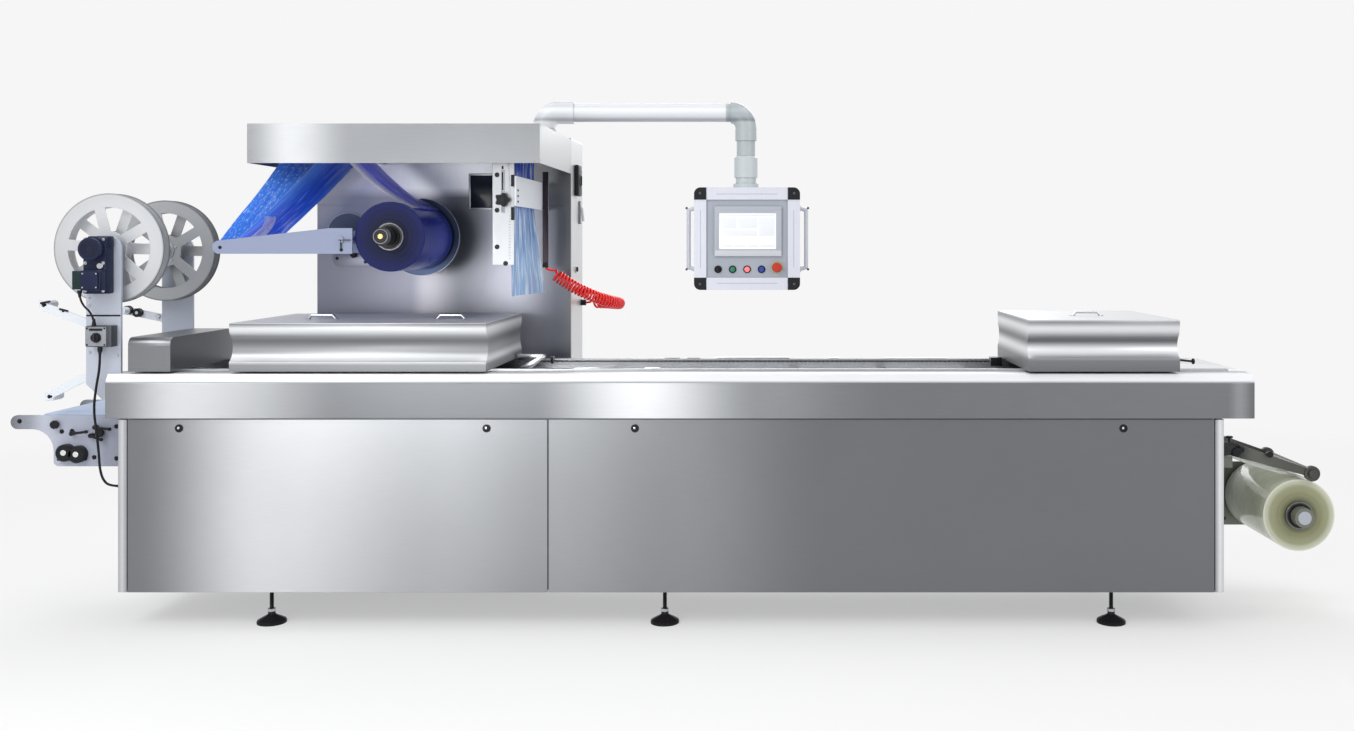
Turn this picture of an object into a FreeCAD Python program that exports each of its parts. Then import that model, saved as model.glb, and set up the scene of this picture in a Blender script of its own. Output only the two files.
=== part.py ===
"""A roll-fed thermoforming packaging machine, as a parametric document.

Lengths are in millimetres.  X runs along the machine from the outfeed end to the
bottom film roll, Y from the operator's side to the back and Z up from the floor.  The
origin lies on the floor under the middle of the machine.
"""
import FreeCAD, Part
import math
import os

import Sketcher

Vector = FreeCAD.Vector
Rotation = FreeCAD.Rotation

doc = FreeCAD.newDocument("ThermoformingMachine")
sheet = doc.addObject("Spreadsheet::Sheet", "Dims")


class Size:
    """A length with its number and the formula that gives it from the sheet."""

    def __init__(self, number, formula):
        self.number = number
        self.formula = formula

    def __add__(self, other):
        other = as_size(other)
        return Size(self.number + other.number, f"({self.formula} + {other.formula})")

    def __radd__(self, other):
        return as_size(other) + self

    def __sub__(self, other):
        other = as_size(other)
        return Size(self.number - other.number, f"({self.formula} - {other.formula})")

    def __rsub__(self, other):
        return as_size(other) - self

    def __mul__(self, factor):
        return Size(self.number * factor, f"({self.formula} * {factor})")

    def __rmul__(self, factor):
        return self * factor

    def __truediv__(self, divisor):
        return Size(self.number / divisor, f"({self.formula} / {divisor})")

    def __neg__(self):
        return Size(-self.number, f"(0 - {self.formula})")


def as_size(value):
    return value if isinstance(value, Size) else Size(value, str(value))


sheet_rows = []


def size(alias, number):
    """Put one driving dimension in the sheet and return it as a Size."""
    sheet_rows.append(alias)
    row = len(sheet_rows)
    sheet.set(f"A{row}", alias)
    sheet.set(f"B{row}", str(number))
    sheet.setAlias(f"B{row}", alias)
    return Size(number, f"Dims.{alias}")


# Table: the long deck and the clad housing under it
DECK_LEFT = size("DeckLeft", -2156)
DECK_LENGTH = size("DeckLength", 4369)
TABLE_MID = size("TableMid", -176)
DECK_WIDTH = size("DeckWidth", 700)
DECK_TOP = size("DeckTop", 973)
SKIRT_HEIGHT = size("SkirtHeight", 169)
EDGE_HEIGHT = size("EdgeHeight", 34)
EDGE_SLOPE = size("EdgeSlope", 20)
END_STRIP = size("EndStrip", 60)
HOUSING_INSET_LEFT = size("HousingInsetLeft", 39)
HOUSING_INSET_RIGHT = size("HousingInsetRight", 110)
HOUSING_INSET_SIDE = size("HousingInsetSide", 20)
PANEL_BOTTOM = size("PanelBottom", 138)
PANEL_GAP = size("PanelGap", 6)
PANEL_THICK = size("PanelThick", 8)
SEAM_GAP = size("SeamGap", 4)
POST_WIDTH = size("PostWidth", 34)
LOCK_RADIUS = size("LockRadius", 13)
LOCK_HEAD = size("LockHead", 5)
LOCK_DROP = size("LockDrop", 34)
LOCK_INSET = size("LockInset", 234)
LOCK_INSET_MIDDLE = size("LockInsetMiddle", 332)
LOCK_INSET_RIGHT = size("LockInsetRight", 384)

deck_right = DECK_LEFT + DECK_LENGTH
deck_front = TABLE_MID - DECK_WIDTH / 2
deck_back = TABLE_MID + DECK_WIDTH / 2
skirt_bottom = DECK_TOP - SKIRT_HEIGHT
bed_top = DECK_TOP - EDGE_HEIGHT
housing_left = DECK_LEFT + HOUSING_INSET_LEFT
housing_right = deck_right - HOUSING_INSET_RIGHT
housing_front = deck_front + HOUSING_INSET_SIDE
housing_back = deck_back - HOUSING_INSET_SIDE
panel_top = skirt_bottom - PANEL_GAP
panel_seam = DECK_LEFT + size("PanelSplit", 1680)

# Levelling feet
FOOT_RADIUS = size("FootRadius", 55)
FOOT_RIM = size("FootRim", 12)
FOOT_CONE = size("FootCone", 34)
FOOT_COLLAR = size("FootCollar", 6)
FOOT_NUT = size("FootNut", 10)
STUD_RADIUS = size("StudRadius", 8)
foot_left = DECK_LEFT + size("FootInsetLeft", 595)
foot_right = deck_right - size("FootInsetRight", 520)
foot_middle = DECK_LEFT + DECK_LENGTH * 0.485
foot_spread = DECK_WIDTH / 2 - size("FootInset", 100)

# Film, and the chain guides that carry it along the deck
FILM_WIDTH = size("FilmWidth", 420)
FILM_THICK = size("FilmThick", 2)
FILM_CLEAR = size("FilmClear", 6)
GUIDE_OUTSIDE = size("GuideOutside", 12)
GUIDE_WIDTH = size("GuideWidth", 26)
GUIDE_RISE = size("GuideRise", 8)
GUIDE_GROOVE = size("GuideGroove", 6)
GUIDE_GROOVE_DEPTH = size("GuideGrooveDepth", 10)
GUIDE_GAP = size("GuideGap", 5)
PLATE_THICK = size("PlateThick", 6)
PLATE_LENGTH = size("PlateLength", 330)
PLATE_STEP = size("PlateStep", 370)
PLATE_START = size("PlateStart", 90)
PLATE_GAP = size("PlateGap", 2)
film_front = TABLE_MID - FILM_WIDTH / 2
film_back = TABLE_MID + FILM_WIDTH / 2
guide_spread = FILM_WIDTH / 2 + GUIDE_OUTSIDE
ledge_reach = guide_spread + GUIDE_WIDTH / 2 + GUIDE_GAP

# Covers over the stations
COVER_INSET = size("CoverInset", 10)
COVER_CLEAR = size("CoverClear", 0.3)
SEALING_LENGTH = size("SealingLength", 979)
SEALING_HEIGHT = size("SealingHeight", 192)
FORMING_LENGTH = size("FormingLength", 575)
FORMING_HEIGHT = size("FormingHeight", 205)
SEALING_FOOT = size("SealingFoot", 36)
SEALING_COVE = size("SealingCove", 96)
FORMING_FOOT = size("FormingFoot", 50)
FORMING_COVE = size("FormingCove", 82)
COVE_DEPTH = size("CoveDepth", 25)
BAND_INSET = size("BandInset", 18)
BAND_BULGE = size("BandBulge", 9)
LIP_INSET = size("LipInset", 4)
CUTTER_LENGTH = size("CutterLength", 161)
CUTTER_HEIGHT = size("CutterHeight", 130)
CUTTER_DEPTH = size("CutterDepth", 560)
CUTTER_ROUND = size("CutterRound", 30)
BOW_LENGTH = size("BowLength", 125)
BOW_HEIGHT = size("BowHeight", 34)
BOW_RADIUS = size("BowRadius", 6)
BOW_FORWARD = size("BowForward", 60)
sealing_left = DECK_LEFT + size("SealingSetback", 467)
forming_left = deck_right - size("FormingSetback", 856)
cutter_left = DECK_LEFT + size("CutterSetback", 83)
cover_front = deck_front + COVER_INSET
cover_back = deck_back - COVER_INSET
cover_bottom = DECK_TOP + GUIDE_RISE + COVER_CLEAR

# Rear cabinet and hood
CABINET_WIDTH = size("CabinetWidth", 1125)
CABINET_DEPTH = size("CabinetDepth", 322)
CABINET_TOP = size("CabinetTop", 1936)
TIE_HEIGHT = size("TieHeight", 80)
TIE_INSET = size("TieInset", 100)
TIE_LIFT = size("TieLift", 60)
DOOR_THICK = size("DoorThick", 14)
DOOR_MARGIN = size("DoorMargin", 24)
HOOD_HEIGHT = size("HoodHeight", 152)
HOOD_WALL = size("HoodWall", 4)
IDLER_RADIUS = size("IdlerRadius", 22)
IDLER_DROP = size("IdlerDrop", 96)
IDLER_OVER = size("IdlerOver", 15)
FEED_DROP = size("FeedDrop", 14)
SEAT_CLEAR = size("SeatClear", 0.3)
WINDOW_WIDTH = size("WindowWidth", 106)
WINDOW_HEIGHT = size("WindowHeight", 146)
FITTING_THICK = size("FittingThick", 6)
SWITCH_WIDTH = size("SwitchWidth", 100)
SWITCH_HEIGHT = size("SwitchHeight", 145)
SWITCH_DEPTH = size("SwitchDepth", 30)
SWITCH_TURN = size("SwitchTurn", 18)
LEVER_FOOT = size("LeverFoot", 24)
LEVER_LENGTH = size("LeverLength", 70)
LEVER_THICK = size("LeverThick", 10)
DOOR_LOCK = size("DoorLock", 15)
cabinet_left = DECK_LEFT + size("CabinetSetback", 519)
cabinet_right = cabinet_left + CABINET_WIDTH
cabinet_front = deck_back + size("CabinetGap", 96)
cabinet_back = cabinet_front + CABINET_DEPTH
hood_front = TABLE_MID - size("HoodForward", 300)
hood_bottom = CABINET_TOP - size("HoodDrop", 158)
hood_top = hood_bottom + HOOD_HEIGHT
idler_z = hood_top - IDLER_DROP
idler_left = cabinet_left + size("IdlerInsetLeft", 155)
idler_feed = cabinet_left + size("IdlerInsetFeed", 297)
idler_right = cabinet_right - size("IdlerInsetRight", 143)
window_left = cabinet_right - size("WindowInset", 446)
window_bottom = hood_bottom - size("WindowDrop", 152)
switch_front = cabinet_front + size("SwitchInset", 74)
switch_bottom = CABINET_TOP - size("SwitchDrop", 255)
lever_front = switch_front + size("LeverInset", 140)
lever_bottom = CABINET_TOP - size("LeverDrop", 356)
door_lock_z = CABINET_TOP - size("DoorLockDrop", 583)

# Top film: roll, shaft, dancer and web
RUN_CLEAR = size("RunClear", 0.5)
TOP_ROLL_RADIUS = size("TopRollRadius", 137)
SHAFT_RADIUS = size("ShaftRadius", 35)
SHAFT_NOSE = size("ShaftNose", 110)
SHAFT_BEVEL = size("ShaftBevel", 6)
SHAFT_TENON = size("ShaftTenon", 12)
CORE_WALL = size("CoreWall", 14)
CORE_PROUD = size("CoreProud", 10)
ROLL_EDGE = size("RollEdge", 2)
FLANGE_RADIUS = size("FlangeRadius", 165)
FLANGE_THICK = size("FlangeThick", 10)
FLANGE_GAP = size("FlangeGap", 8)
BEARING_RADIUS = size("BearingRadius", 70)
BEARING_LENGTH = size("BearingLength", 34)
DANCER_RADIUS = size("DancerRadius", 18)
DANCER_ARM = size("DancerArm", 8)
DANCER_TIP = size("DancerTip", 26)
PIVOT_RADIUS = size("PivotRadius", 18)
PIVOT_PLATE = size("PivotPlate", 45)
PIVOT_BOSS = size("PivotBoss", 20)
PIVOT_CAP = size("PivotCap", 8)
top_roll_x = cabinet_left + size("TopRollInset", 522)
top_roll_z = hood_bottom - size("TopRollDrop", 282)
dancer_x = cabinet_left - size("DancerOut", 139)
dancer_z = hood_bottom - size("DancerDrop", 323)
pivot_x = cabinet_left + size("PivotInset", 335)
pivot_z = hood_bottom - size("PivotDrop", 294)
arm_spread = FILM_WIDTH / 2 + size("ArmOutside", 14)

# Web guide to the right of the roll
GUIDE_THICK = size("GuideThick", 8)
GUIDE_HEIGHT = size("GuideHeight", 117)
BRACKET_WIDTH = size("BracketWidth", 84)
BRACKET_THICK = size("BracketThick", 8)
SLOT_WIDTH = size("SlotWidth", 12)
SLOT_LENGTH = size("SlotLength", 162)
KNOB_RADIUS = size("KnobRadius", 28)
KNOB_LENGTH = size("KnobLength", 30)
BOLT_RADIUS = size("BoltRadius", 7)
BOLT_HEAD = size("BoltHead", 6)
BOLT_INSET = size("BoltInset", 18)
BOLT_STEP = size("BoltStep", 118)
BAR_WIDTH = size("BarWidth", 24)
tail_bottom = hood_bottom - size("TailDrop", 516)
guide_x = cabinet_right - size("GuideInset", 108)
guide_bottom = hood_bottom - size("GuideDrop", 164)
bracket_left = guide_x - BRACKET_WIDTH
bracket_front = hood_front + size("BracketInset", 42)
bracket_bottom = hood_bottom - size("BracketDrop", 392)
slot_bottom = hood_bottom - size("SlotDrop", 188)
bar_front = cabinet_front - size("BarForward", 150)

# Pendant arm and control box
PENDANT_FLANGE = size("PendantFlange", 12)
PENDANT_RADIUS = size("PendantRadius", 49)
PENDANT_BEVEL = size("PendantBevel", 4)
TURN_CLEAR = size("TurnClear", 0.3)
KNUCKLE_LEG = size("KnuckleLeg", 3.7)
KNUCKLE_RADIUS = size("KnuckleRadius", 46)
KNUCKLE_LENGTH = size("KnuckleLength", 125)
ARM_RADIUS = size("ArmRadius", 38)
ELBOW_BEND = size("ElbowBend", 62)
ELBOW_RADIUS = size("ElbowRadius", 44)
DROP_SLEEVE = size("DropSleeve", 54)
SPIGOT_LENGTH = size("SpigotLength", 64.7)
NECK_RADIUS = size("NeckRadius", 48)
NECK_WAIST = size("NeckWaist", 42)
NECK_COLLAR = size("NeckCollar", 87)
NECK_LENGTH = size("NeckLength", 129)
NECK_BEVEL = size("NeckBevel", 5)
NECK_FLANGE = size("NeckFlange", 52)
NECK_FOOT = size("NeckFoot", 16)
BOX_WIDTH = size("BoxWidth", 432)
BOX_SHIFT = size("BoxShift", 6)
BOX_HEIGHT = size("BoxHeight", 418)
BOX_DEPTH = size("BoxDepth", 124)
PROFILE_WIDTH = size("ProfileWidth", 50)
CORNER_ROUND = size("CornerRound", 26)
CORNER_PROUD = size("CornerProud", 3)
PLATE_RECESS = size("PlateRecess", 8)
BEZEL_WIDTH = size("BezelWidth", 272)
BEZEL_HEIGHT = size("BezelHeight", 202)
BEZEL_THICK = size("BezelThick", 12)
BEZEL_SHIFT = size("BezelShift", 4)
BEZEL_DROP = size("BezelDrop", 28)
BEZEL_LEFT = size("BezelLeft", 17)
BEZEL_RIGHT = size("BezelRight", 20)
BEZEL_LOW = size("BezelLow", 36)
BEZEL_HIGH = size("BezelHigh", 24)
SCREEN_RECESS = size("ScreenRecess", 3)
BUTTON_RADIUS = size("ButtonRadius", 13)
BUTTON_LENGTH = size("ButtonLength", 16)
BUTTON_FAR = size("ButtonFar", 118)
BUTTON_STEP = size("ButtonStep", 59)
STOP_RADIUS = size("StopRadius", 20)
STOP_LENGTH = size("StopLength", 30)
STOP_OFFSET = size("StopOffset", 122)
STOP_LIFT = size("StopLift", 8)
STOP_COLLAR = size("StopCollar", 6)
GRIP_REACH = size("GripReach", 34)
GRIP_RADIUS = size("GripRadius", 9)
GRIP_HEIGHT = size("GripHeight", 270)
GRIP_DROP = size("GripDrop", 10)
pendant_x = cabinet_right - size("PendantInset", 50)
pendant_y = hood_front + size("PendantSetback", 360)
base_top = hood_top + PENDANT_FLANGE
arm_z = base_top + TURN_CLEAR + KNUCKLE_LEG + ELBOW_BEND
panel_axis_x = pendant_x + size("PendantReach", 832)
drop_end = arm_z - ELBOW_BEND - DROP_SLEEVE
neck_top = drop_end - SPIGOT_LENGTH - TURN_CLEAR
box_top = neck_top - NECK_LENGTH
button_row = box_top - size("ButtonDrop", 334)

# Trim winders at the outfeed end
REEL_RADIUS = size("ReelRadius", 213)
REEL_RIM = size("ReelRim", 54)
REEL_HUB = size("ReelHub", 58)
REEL_HUB_FACE = size("ReelHubFace", 10)
REEL_SPOKE = size("ReelSpoke", 42)
REEL_FLANGE = size("ReelFlange", 4)
REEL_SPACE = size("ReelSpace", 44)
REEL_SHAFT = size("ReelShaft", 14)
REEL_CLEAR = size("ReelClear", 6)
AXLE_CAP = size("AxleCap", 12)
AXLE_CAP_LAP = size("AxleCapLap", 4)
COLLAR_GAP = size("CollarGap", 2)
POST_THICK = size("PostThick", 12)
POST_ROUND = size("PostRound", 50)
POST_KNEE = size("PostKnee", 62)
POST_TOE = size("PostToe", 30)
MOTOR_RADIUS = size("MotorRadius", 43)
MOTOR_LENGTH = size("MotorLength", 40)
MOTOR_RING = size("MotorRing", 6)
MOTOR_RING_LENGTH = size("MotorRingLength", 12)
GEAR_SIZE = size("GearSize", 88)
GEAR_DEPTH = size("GearDepth", 60)
GEAR_DROP = size("GearDrop", 14)
TERMINAL_WIDTH = size("TerminalWidth", 106)
TERMINAL_HEIGHT = size("TerminalHeight", 76)
TERMINAL_DEPTH = size("TerminalDepth", 62)
TERMINAL_LAP = size("TerminalLap", 16)
SWITCH_BOX_WIDTH = size("SwitchBoxWidth", 96)
SWITCH_BOX_HEIGHT = size("SwitchBoxHeight", 80)
SWITCH_BOX_DEPTH = size("SwitchBoxDepth", 54)
SMALL_KNOB = size("SmallKnob", 17)
SMALL_KNOB_LENGTH = size("SmallKnobLength", 22)
ARM_HEIGHT = size("ArmHeight", 34)
ARM_THICK = size("ArmThick", 8)
TRIM_ROLLER = size("TrimRoller", 16)
TRIM_ROLLER_LENGTH = size("TrimRollerLength", 70)
reel_front_x = DECK_LEFT - size("ReelFrontOut", 31)
reel_front_z = DECK_TOP + size("ReelFrontRise", 477)
reel_back_x = DECK_LEFT - size("ReelBackOut", 42)
reel_back_z = DECK_TOP + size("ReelBackRise", 466)
post_left = DECK_LEFT - size("PostOut", 95)
post_right = housing_left
post_top = reel_front_z + size("PostOver", 50)
post_low = DECK_TOP - size("PostDrop", 105)
post_spread = DECK_WIDTH / 2 - size("PostInset", 50)
reel_spread = post_spread - size("ReelInset", 64)
motor_z = reel_front_z - size("MotorDrop", 2)
terminal_top = motor_z - size("TerminalDrop", 80)
terminal_bottom = terminal_top - TERMINAL_HEIGHT
terminal_left = reel_front_x - size("TerminalOut", 64)
switch_box_left = post_left + size("SwitchBoxInset", 25)
switch_box_bottom = DECK_TOP + size("SwitchBoxRise", 103)
trim_tip = post_left - size("TrimReach", 181)
trim_spread = size("TrimSpread", 22)
trim_high_z = DECK_TOP + size("TrimHighRise", 261)
trim_back_z = DECK_TOP + size("TrimBackRise", 209)
trim_low_z = post_low + size("TrimLowLift", 12)
trim_high_fall = size("TrimHighFall", 70)
trim_low_climb = size("TrimLowClimb", 78)
trim_back_fall = size("TrimBackFall", 34)

# Outfeed
OUTFEED_NOSE = size("OutfeedNose", 54)
OUTFEED_HEIGHT = size("OutfeedHeight", 198)
OUTFEED_PLATE = size("OutfeedPlate", 10)
OUTFEED_SWEEP = size("OutfeedSweep", 85)
OUTFEED_ROUND = size("OutfeedRound", 20)
DRIVE_WIDTH = size("DriveWidth", 120)
DRIVE_HEIGHT = size("DriveHeight", 72)
DRIVE_THICK = size("DriveThick", 30)
DRIVE_INSET = size("DriveInset", 18)
BELT_HEIGHT = size("BeltHeight", 56)
BELT_PROUD = size("BeltProud", 8)
BELT_GAP = size("BeltGap", 3)
CLAMP_LENGTH = size("ClampLength", 26)
CLAMP_OUT = size("ClampOut", 4)
CLAMP_IN = size("ClampIn", 50)
CLAMP_HIGH = size("ClampHigh", 34)
CLAMP_LOW = size("ClampLow", 66)
outfeed_tip = DECK_LEFT - size("OutfeedReach", 419)
outfeed_step = DECK_LEFT - size("OutfeedStepReach", 252)
outfeed_top = skirt_bottom - size("OutfeedGap", 1)
outfeed_bottom = outfeed_top - OUTFEED_HEIGHT
outfeed_spread = post_spread - size("OutfeedInset", 56)
drive_left = outfeed_step + DRIVE_INSET
belt_left = outfeed_tip + size("BeltSetback", 115)

# Bottom film
BOTTOM_ROLL_RADIUS = size("BottomRollRadius", 140)
BOTTOM_SHAFT = size("BottomShaft", 38)
BOTTOM_NOSE = size("BottomNose", 46)
UNWIND_PLATE = size("UnwindPlate", 14)
UNWIND_HEIGHT = size("UnwindHeight", 268)
UNWIND_FOOT = size("UnwindFoot", 60)
UNWIND_ARM_HALF = size("UnwindArmHalf", 26)
UNWIND_TIP_HALF = size("UnwindTipHalf", 14)
UNWIND_BOSS = size("UnwindBoss", 30)
UNWIND_BOSS_LENGTH = size("UnwindBossLength", 16)
UNWIND_ROLLER = size("UnwindRoller", 18)
EAR_THICK = size("EarThick", 14)
IDLER_EAR = size("IdlerEar", 10)
bottom_roll_x = housing_right + size("BottomRollOut", 335)
bottom_roll_z = PANEL_BOTTOM + size("BottomRollRise", 269)
unwind_arm_x = bottom_roll_x + size("UnwindArmOut", 43)
unwind_arm_z = bottom_roll_z + size("UnwindArmRise", 166)
unwind_pivot_x = housing_right + size("UnwindPivotOut", 57)
unwind_pivot_z = bottom_roll_z + size("UnwindPivotRise", 265)
unwind_spread = FILM_WIDTH / 2 + size("UnwindOutside", 16)
web_idler_x = housing_right + size("WebIdlerOut", 47)
web_idler_z = bottom_roll_z + size("WebIdlerRise", 211)
ear_spread = FILM_WIDTH / 2 + size("EarOutside", 12)

# Cables and air hose
GLAND_RADIUS = size("GlandRadius", 9)
GLAND_SHORT = size("GlandShort", 10)
GLAND_LONG = size("GlandLong", 18)
GLAND_END = size("GlandEnd", 14)
HOSE_FITTING = size("HoseFitting", 12)
HOSE_FITTING_LENGTH = size("HoseFittingLength", 20)
HOSE_SOCKET = size("HoseSocket", 14)
HOSE_SOCKET_LENGTH = size("HoseSocketLength", 24)
CABLE_DIAMETER = size("CableDiameter", 7.5)
HOSE_DIAMETER = size("HoseDiameter", 56)
post_front = TABLE_MID - post_spread - POST_THICK / 2
motor_cable_start = (
    terminal_left + size("MotorGlandInset", 12),
    post_front - size("MotorGlandForward", 66),
    terminal_bottom - GLAND_SHORT,
)
motor_cable_end = (
    switch_box_left + size("BoxEntryInset", 26),
    post_front - size("BoxEntryForward", 38),
    switch_box_bottom + SWITCH_BOX_HEIGHT,
)
supply_cable_start = (
    switch_box_left + size("BoxGlandInset", 46),
    post_front - size("BoxGlandForward", 33),
    switch_box_bottom - GLAND_LONG,
)
supply_cable_end = (
    housing_left - GLAND_END,
    housing_front + size("EndGlandInset", 44),
    skirt_bottom - size("EndGlandDrop", 268),
)
air_hose_start = (
    guide_x + GUIDE_THICK + BAR_WIDTH / 2,
    bar_front + BRACKET_THICK / 2,
    bracket_bottom - HOSE_FITTING_LENGTH,
)
air_hose_end = (
    cabinet_right + HOSE_SOCKET_LENGTH,
    cabinet_front + size("HoseSocketInset", 276),
    door_lock_z - size("HoseSocketDrop", 157),
)

doc.recompute()

REEL_SPOKES = 5
NEAR_WINDOW_TURN = math.radians(5)
FAR_WINDOW_TURN = math.radians(-35)
PLATE_COUNT = 5

nodes = {}


def bind(target, path, value):
    """Tie one property of an object to a formula of the sheet."""
    target.setExpression(path, as_size(value).formula)


def keep(label, solid):
    """Name the sub-part that a finished object stands for."""
    solid.Label = label
    nodes[label] = solid
    return solid


def name_for(kind):
    """A fresh internal name for a helper object."""
    return f"{kind}_{len(doc.Objects)}"


def block(across, deep, up):
    """A box between two places on each axis."""
    solid = doc.addObject("Part::Box", name_for("block"))
    spans = (("x", "Length", across), ("y", "Width", deep), ("z", "Height", up))
    for axis, length, (low, high) in spans:
        bind(solid, f"Placement.Base.{axis}", low)
        bind(solid, length, as_size(high) - low)
    return solid


TURN_TO = {
    "X": Rotation(Vector(0, 1, 0), 90),
    "Y": Rotation(Vector(1, 0, 0), -90),
    "Z": Rotation(),
}


def place(solid, point, axis="Z"):
    """Stand an object at a point with its own Z along the given axis."""
    solid.Placement = FreeCAD.Placement(Vector(), TURN_TO[axis])
    for letter, value in zip("xyz", point):
        bind(solid, f"Placement.Base.{letter}", value)
    return solid


def rod(axis, radius, start, length):
    """A round bar that runs from the point start along one axis."""
    solid = doc.addObject("Part::Cylinder", name_for("rod"))
    bind(solid, "Radius", radius)
    bind(solid, "Height", length)
    return place(solid, start, axis)


def fuse(*solids):
    joined = doc.addObject("Part::MultiFuse", name_for("fuse"))
    joined.Shapes = list(solids)
    joined.Refine = True
    return joined


def cut(base, *tools):
    carved = base
    for tool in tools:
        result = doc.addObject("Part::Cut", name_for("cut"))
        result.Base = carved
        result.Tool = tool
        carved = result
    return carved


def together(*solids):
    """Like pieces that share one sub-part and don't touch."""
    joined = doc.addObject("Part::Compound", name_for("set"))
    joined.Links = list(solids)
    return joined


def origin_plane(body, role):
    return next(item for item in body.Origin.OriginFeatures if item.Role == role)


PLANES = {"X": "YZ_Plane", "Y": "XZ_Plane", "Z": "XY_Plane"}


def sketch_on(body, normal, height=0):
    """A sketch square to an axis.  Its own normal is -Y on the XZ plane."""
    sketch = body.newObject("Sketcher::SketchObject", name_for("sketch"))
    sketch.AttachmentSupport = [(origin_plane(body, PLANES[normal]), "")]
    sketch.MapMode = "FlatFace"
    offset = -as_size(height) if normal == "Y" else as_size(height)
    bind(sketch, "AttachmentOffset.Base.z", offset)
    return sketch


def pin_point(sketch, edge, end, point):
    """Hold one end of an edge at a place that the sheet gives."""
    for kind, value in zip(("DistanceX", "DistanceY"), point):
        value = as_size(value)
        index = sketch.addConstraint(Sketcher.Constraint(kind, -1, 1, edge, end, value.number))
        bind(sketch, f"Constraints[{index}]", value)


def draw_outline(sketch, outline):
    """Draw a closed outline of corners.

    A corner is (x, y), or (x, y, radius) where the stretch that ends there is an arc.
    A positive radius bulges to the left of the way of travel, a negative one to its right.
    """
    corners = [[as_size(value) for value in corner] for corner in outline]
    first_edge = sketch.GeometryCount
    for index, corner in enumerate(corners):
        before = corners[index - 1]
        start = Vector(before[0].number, before[1].number, 0)
        end = Vector(corner[0].number, corner[1].number, 0)
        if len(corner) == 2:
            sketch.addGeometry(Part.LineSegment(start, end), False)
            continue
        bend = corner[2].number
        half = (end - start) * 0.5
        side = Vector(-half.y, half.x, 0).normalize() * math.copysign(1, bend)
        depth = abs(bend) - math.sqrt(max(bend * bend - half.Length ** 2, 0))
        sketch.addGeometry(Part.Arc(start, start + half + side * depth, end), False)
    for index, corner in enumerate(corners):
        edge = first_edge + index
        following = first_edge + (index + 1) % len(corners)
        curved = len(corner) == 3
        after = corners[(index + 1) % len(corners)]
        end_mark = 2
        if curved and corner[2].number > 0:
            end_mark = 1
        start_mark = 1
        if len(after) == 3 and after[2].number > 0:
            start_mark = 2
        sketch.addConstraint(Sketcher.Constraint("Coincident", edge, end_mark, following, start_mark))
        pin_point(sketch, edge, end_mark, corner[:2])
        if curved:
            bend = corner[2] if corner[2].number > 0 else -corner[2]
            number = sketch.addConstraint(Sketcher.Constraint("Radius", edge, bend.number))
            bind(sketch, f"Constraints[{number}]", bend)


def new_body():
    return doc.addObject("PartDesign::Body", name_for("body"))


def extrude(body, normal, outline, start, end, kind="PartDesign::Pad"):
    """Raise or sink an outline between two places along its normal."""
    sketch = sketch_on(body, normal, start)
    draw_outline(sketch, outline)
    feature = body.newObject(kind, name_for("run"))
    feature.Profile = sketch
    bind(feature, "Length", as_size(end) - start)
    forward = normal != "Y"
    feature.Reversed = not forward if kind == "PartDesign::Pad" else forward
    body.Tip = feature
    return feature


def prism(normal, outline, start, end):
    """A solid of one outline, between two places along one axis."""
    body = new_body()
    extrude(body, normal, outline, start, end)
    return body


def turned(outline, point, axis="Z"):
    """A round solid from (radius, height) corners, stood at a point along one axis."""
    body = new_body()
    sketch = sketch_on(body, "Y")
    draw_outline(sketch, outline)
    feature = body.newObject("PartDesign::Revolution", name_for("turn"))
    feature.Profile = sketch
    feature.ReferenceAxis = (sketch, ["V_Axis"])
    feature.Angle = 360
    body.Tip = feature
    return place(body, point, axis)


def rectangle(low_x, high_x, low_y, high_y):
    return [(low_x, low_y), (high_x, low_y), (high_x, high_y), (low_x, high_y)]


def capsule(left, right, bottom, top):
    """Outline of a bar with half-round ends."""
    half = (top - bottom) / 2
    return [
        (right - half, bottom),
        (right, bottom + half, -half),
        (right - half, top, -half),
        (left + half, top),
        (left, bottom + half, -half),
        (left + half, bottom, -half),
    ]


def link_outline(start, start_half, end, end_half):
    """Outline of a tapered link with a round end about each of two centres."""
    run_x = end[0].number - start[0].number
    run_z = end[1].number - start[1].number
    run = math.hypot(run_x, run_z)
    along_x = run_x / run
    along_z = run_z / run
    return [
        (end[0] + end_half * along_z, end[1] - end_half * along_x),
        (end[0] + end_half * along_x, end[1] + end_half * along_z, -end_half),
        (end[0] - end_half * along_z, end[1] + end_half * along_x, -end_half),
        (start[0] - start_half * along_z, start[1] + start_half * along_x),
        (start[0] - start_half * along_x, start[1] - start_half * along_z, -start_half),
        (start[0] + start_half * along_z, start[1] - start_half * along_x, -start_half),
    ]


def make_housing():
    """Closed base under the deck, with a post at each corner that frames the panels."""
    core = block(
        (housing_left + PANEL_THICK, housing_right - PANEL_THICK),
        (housing_front + PANEL_THICK, housing_back - PANEL_THICK),
        (PANEL_BOTTOM + PANEL_THICK, skirt_bottom),
    )
    posts = []
    for low, high in (
        (housing_left, housing_left + POST_WIDTH),
        (housing_right - POST_WIDTH, housing_right),
    ):
        for front, back in (
            (housing_front, housing_front + POST_WIDTH),
            (housing_back - POST_WIDTH, housing_back),
        ):
            posts.append(block((low, high), (front, back), (PANEL_BOTTOM, panel_top)))
    keep("machine_housing", fuse(core, *posts))


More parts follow.
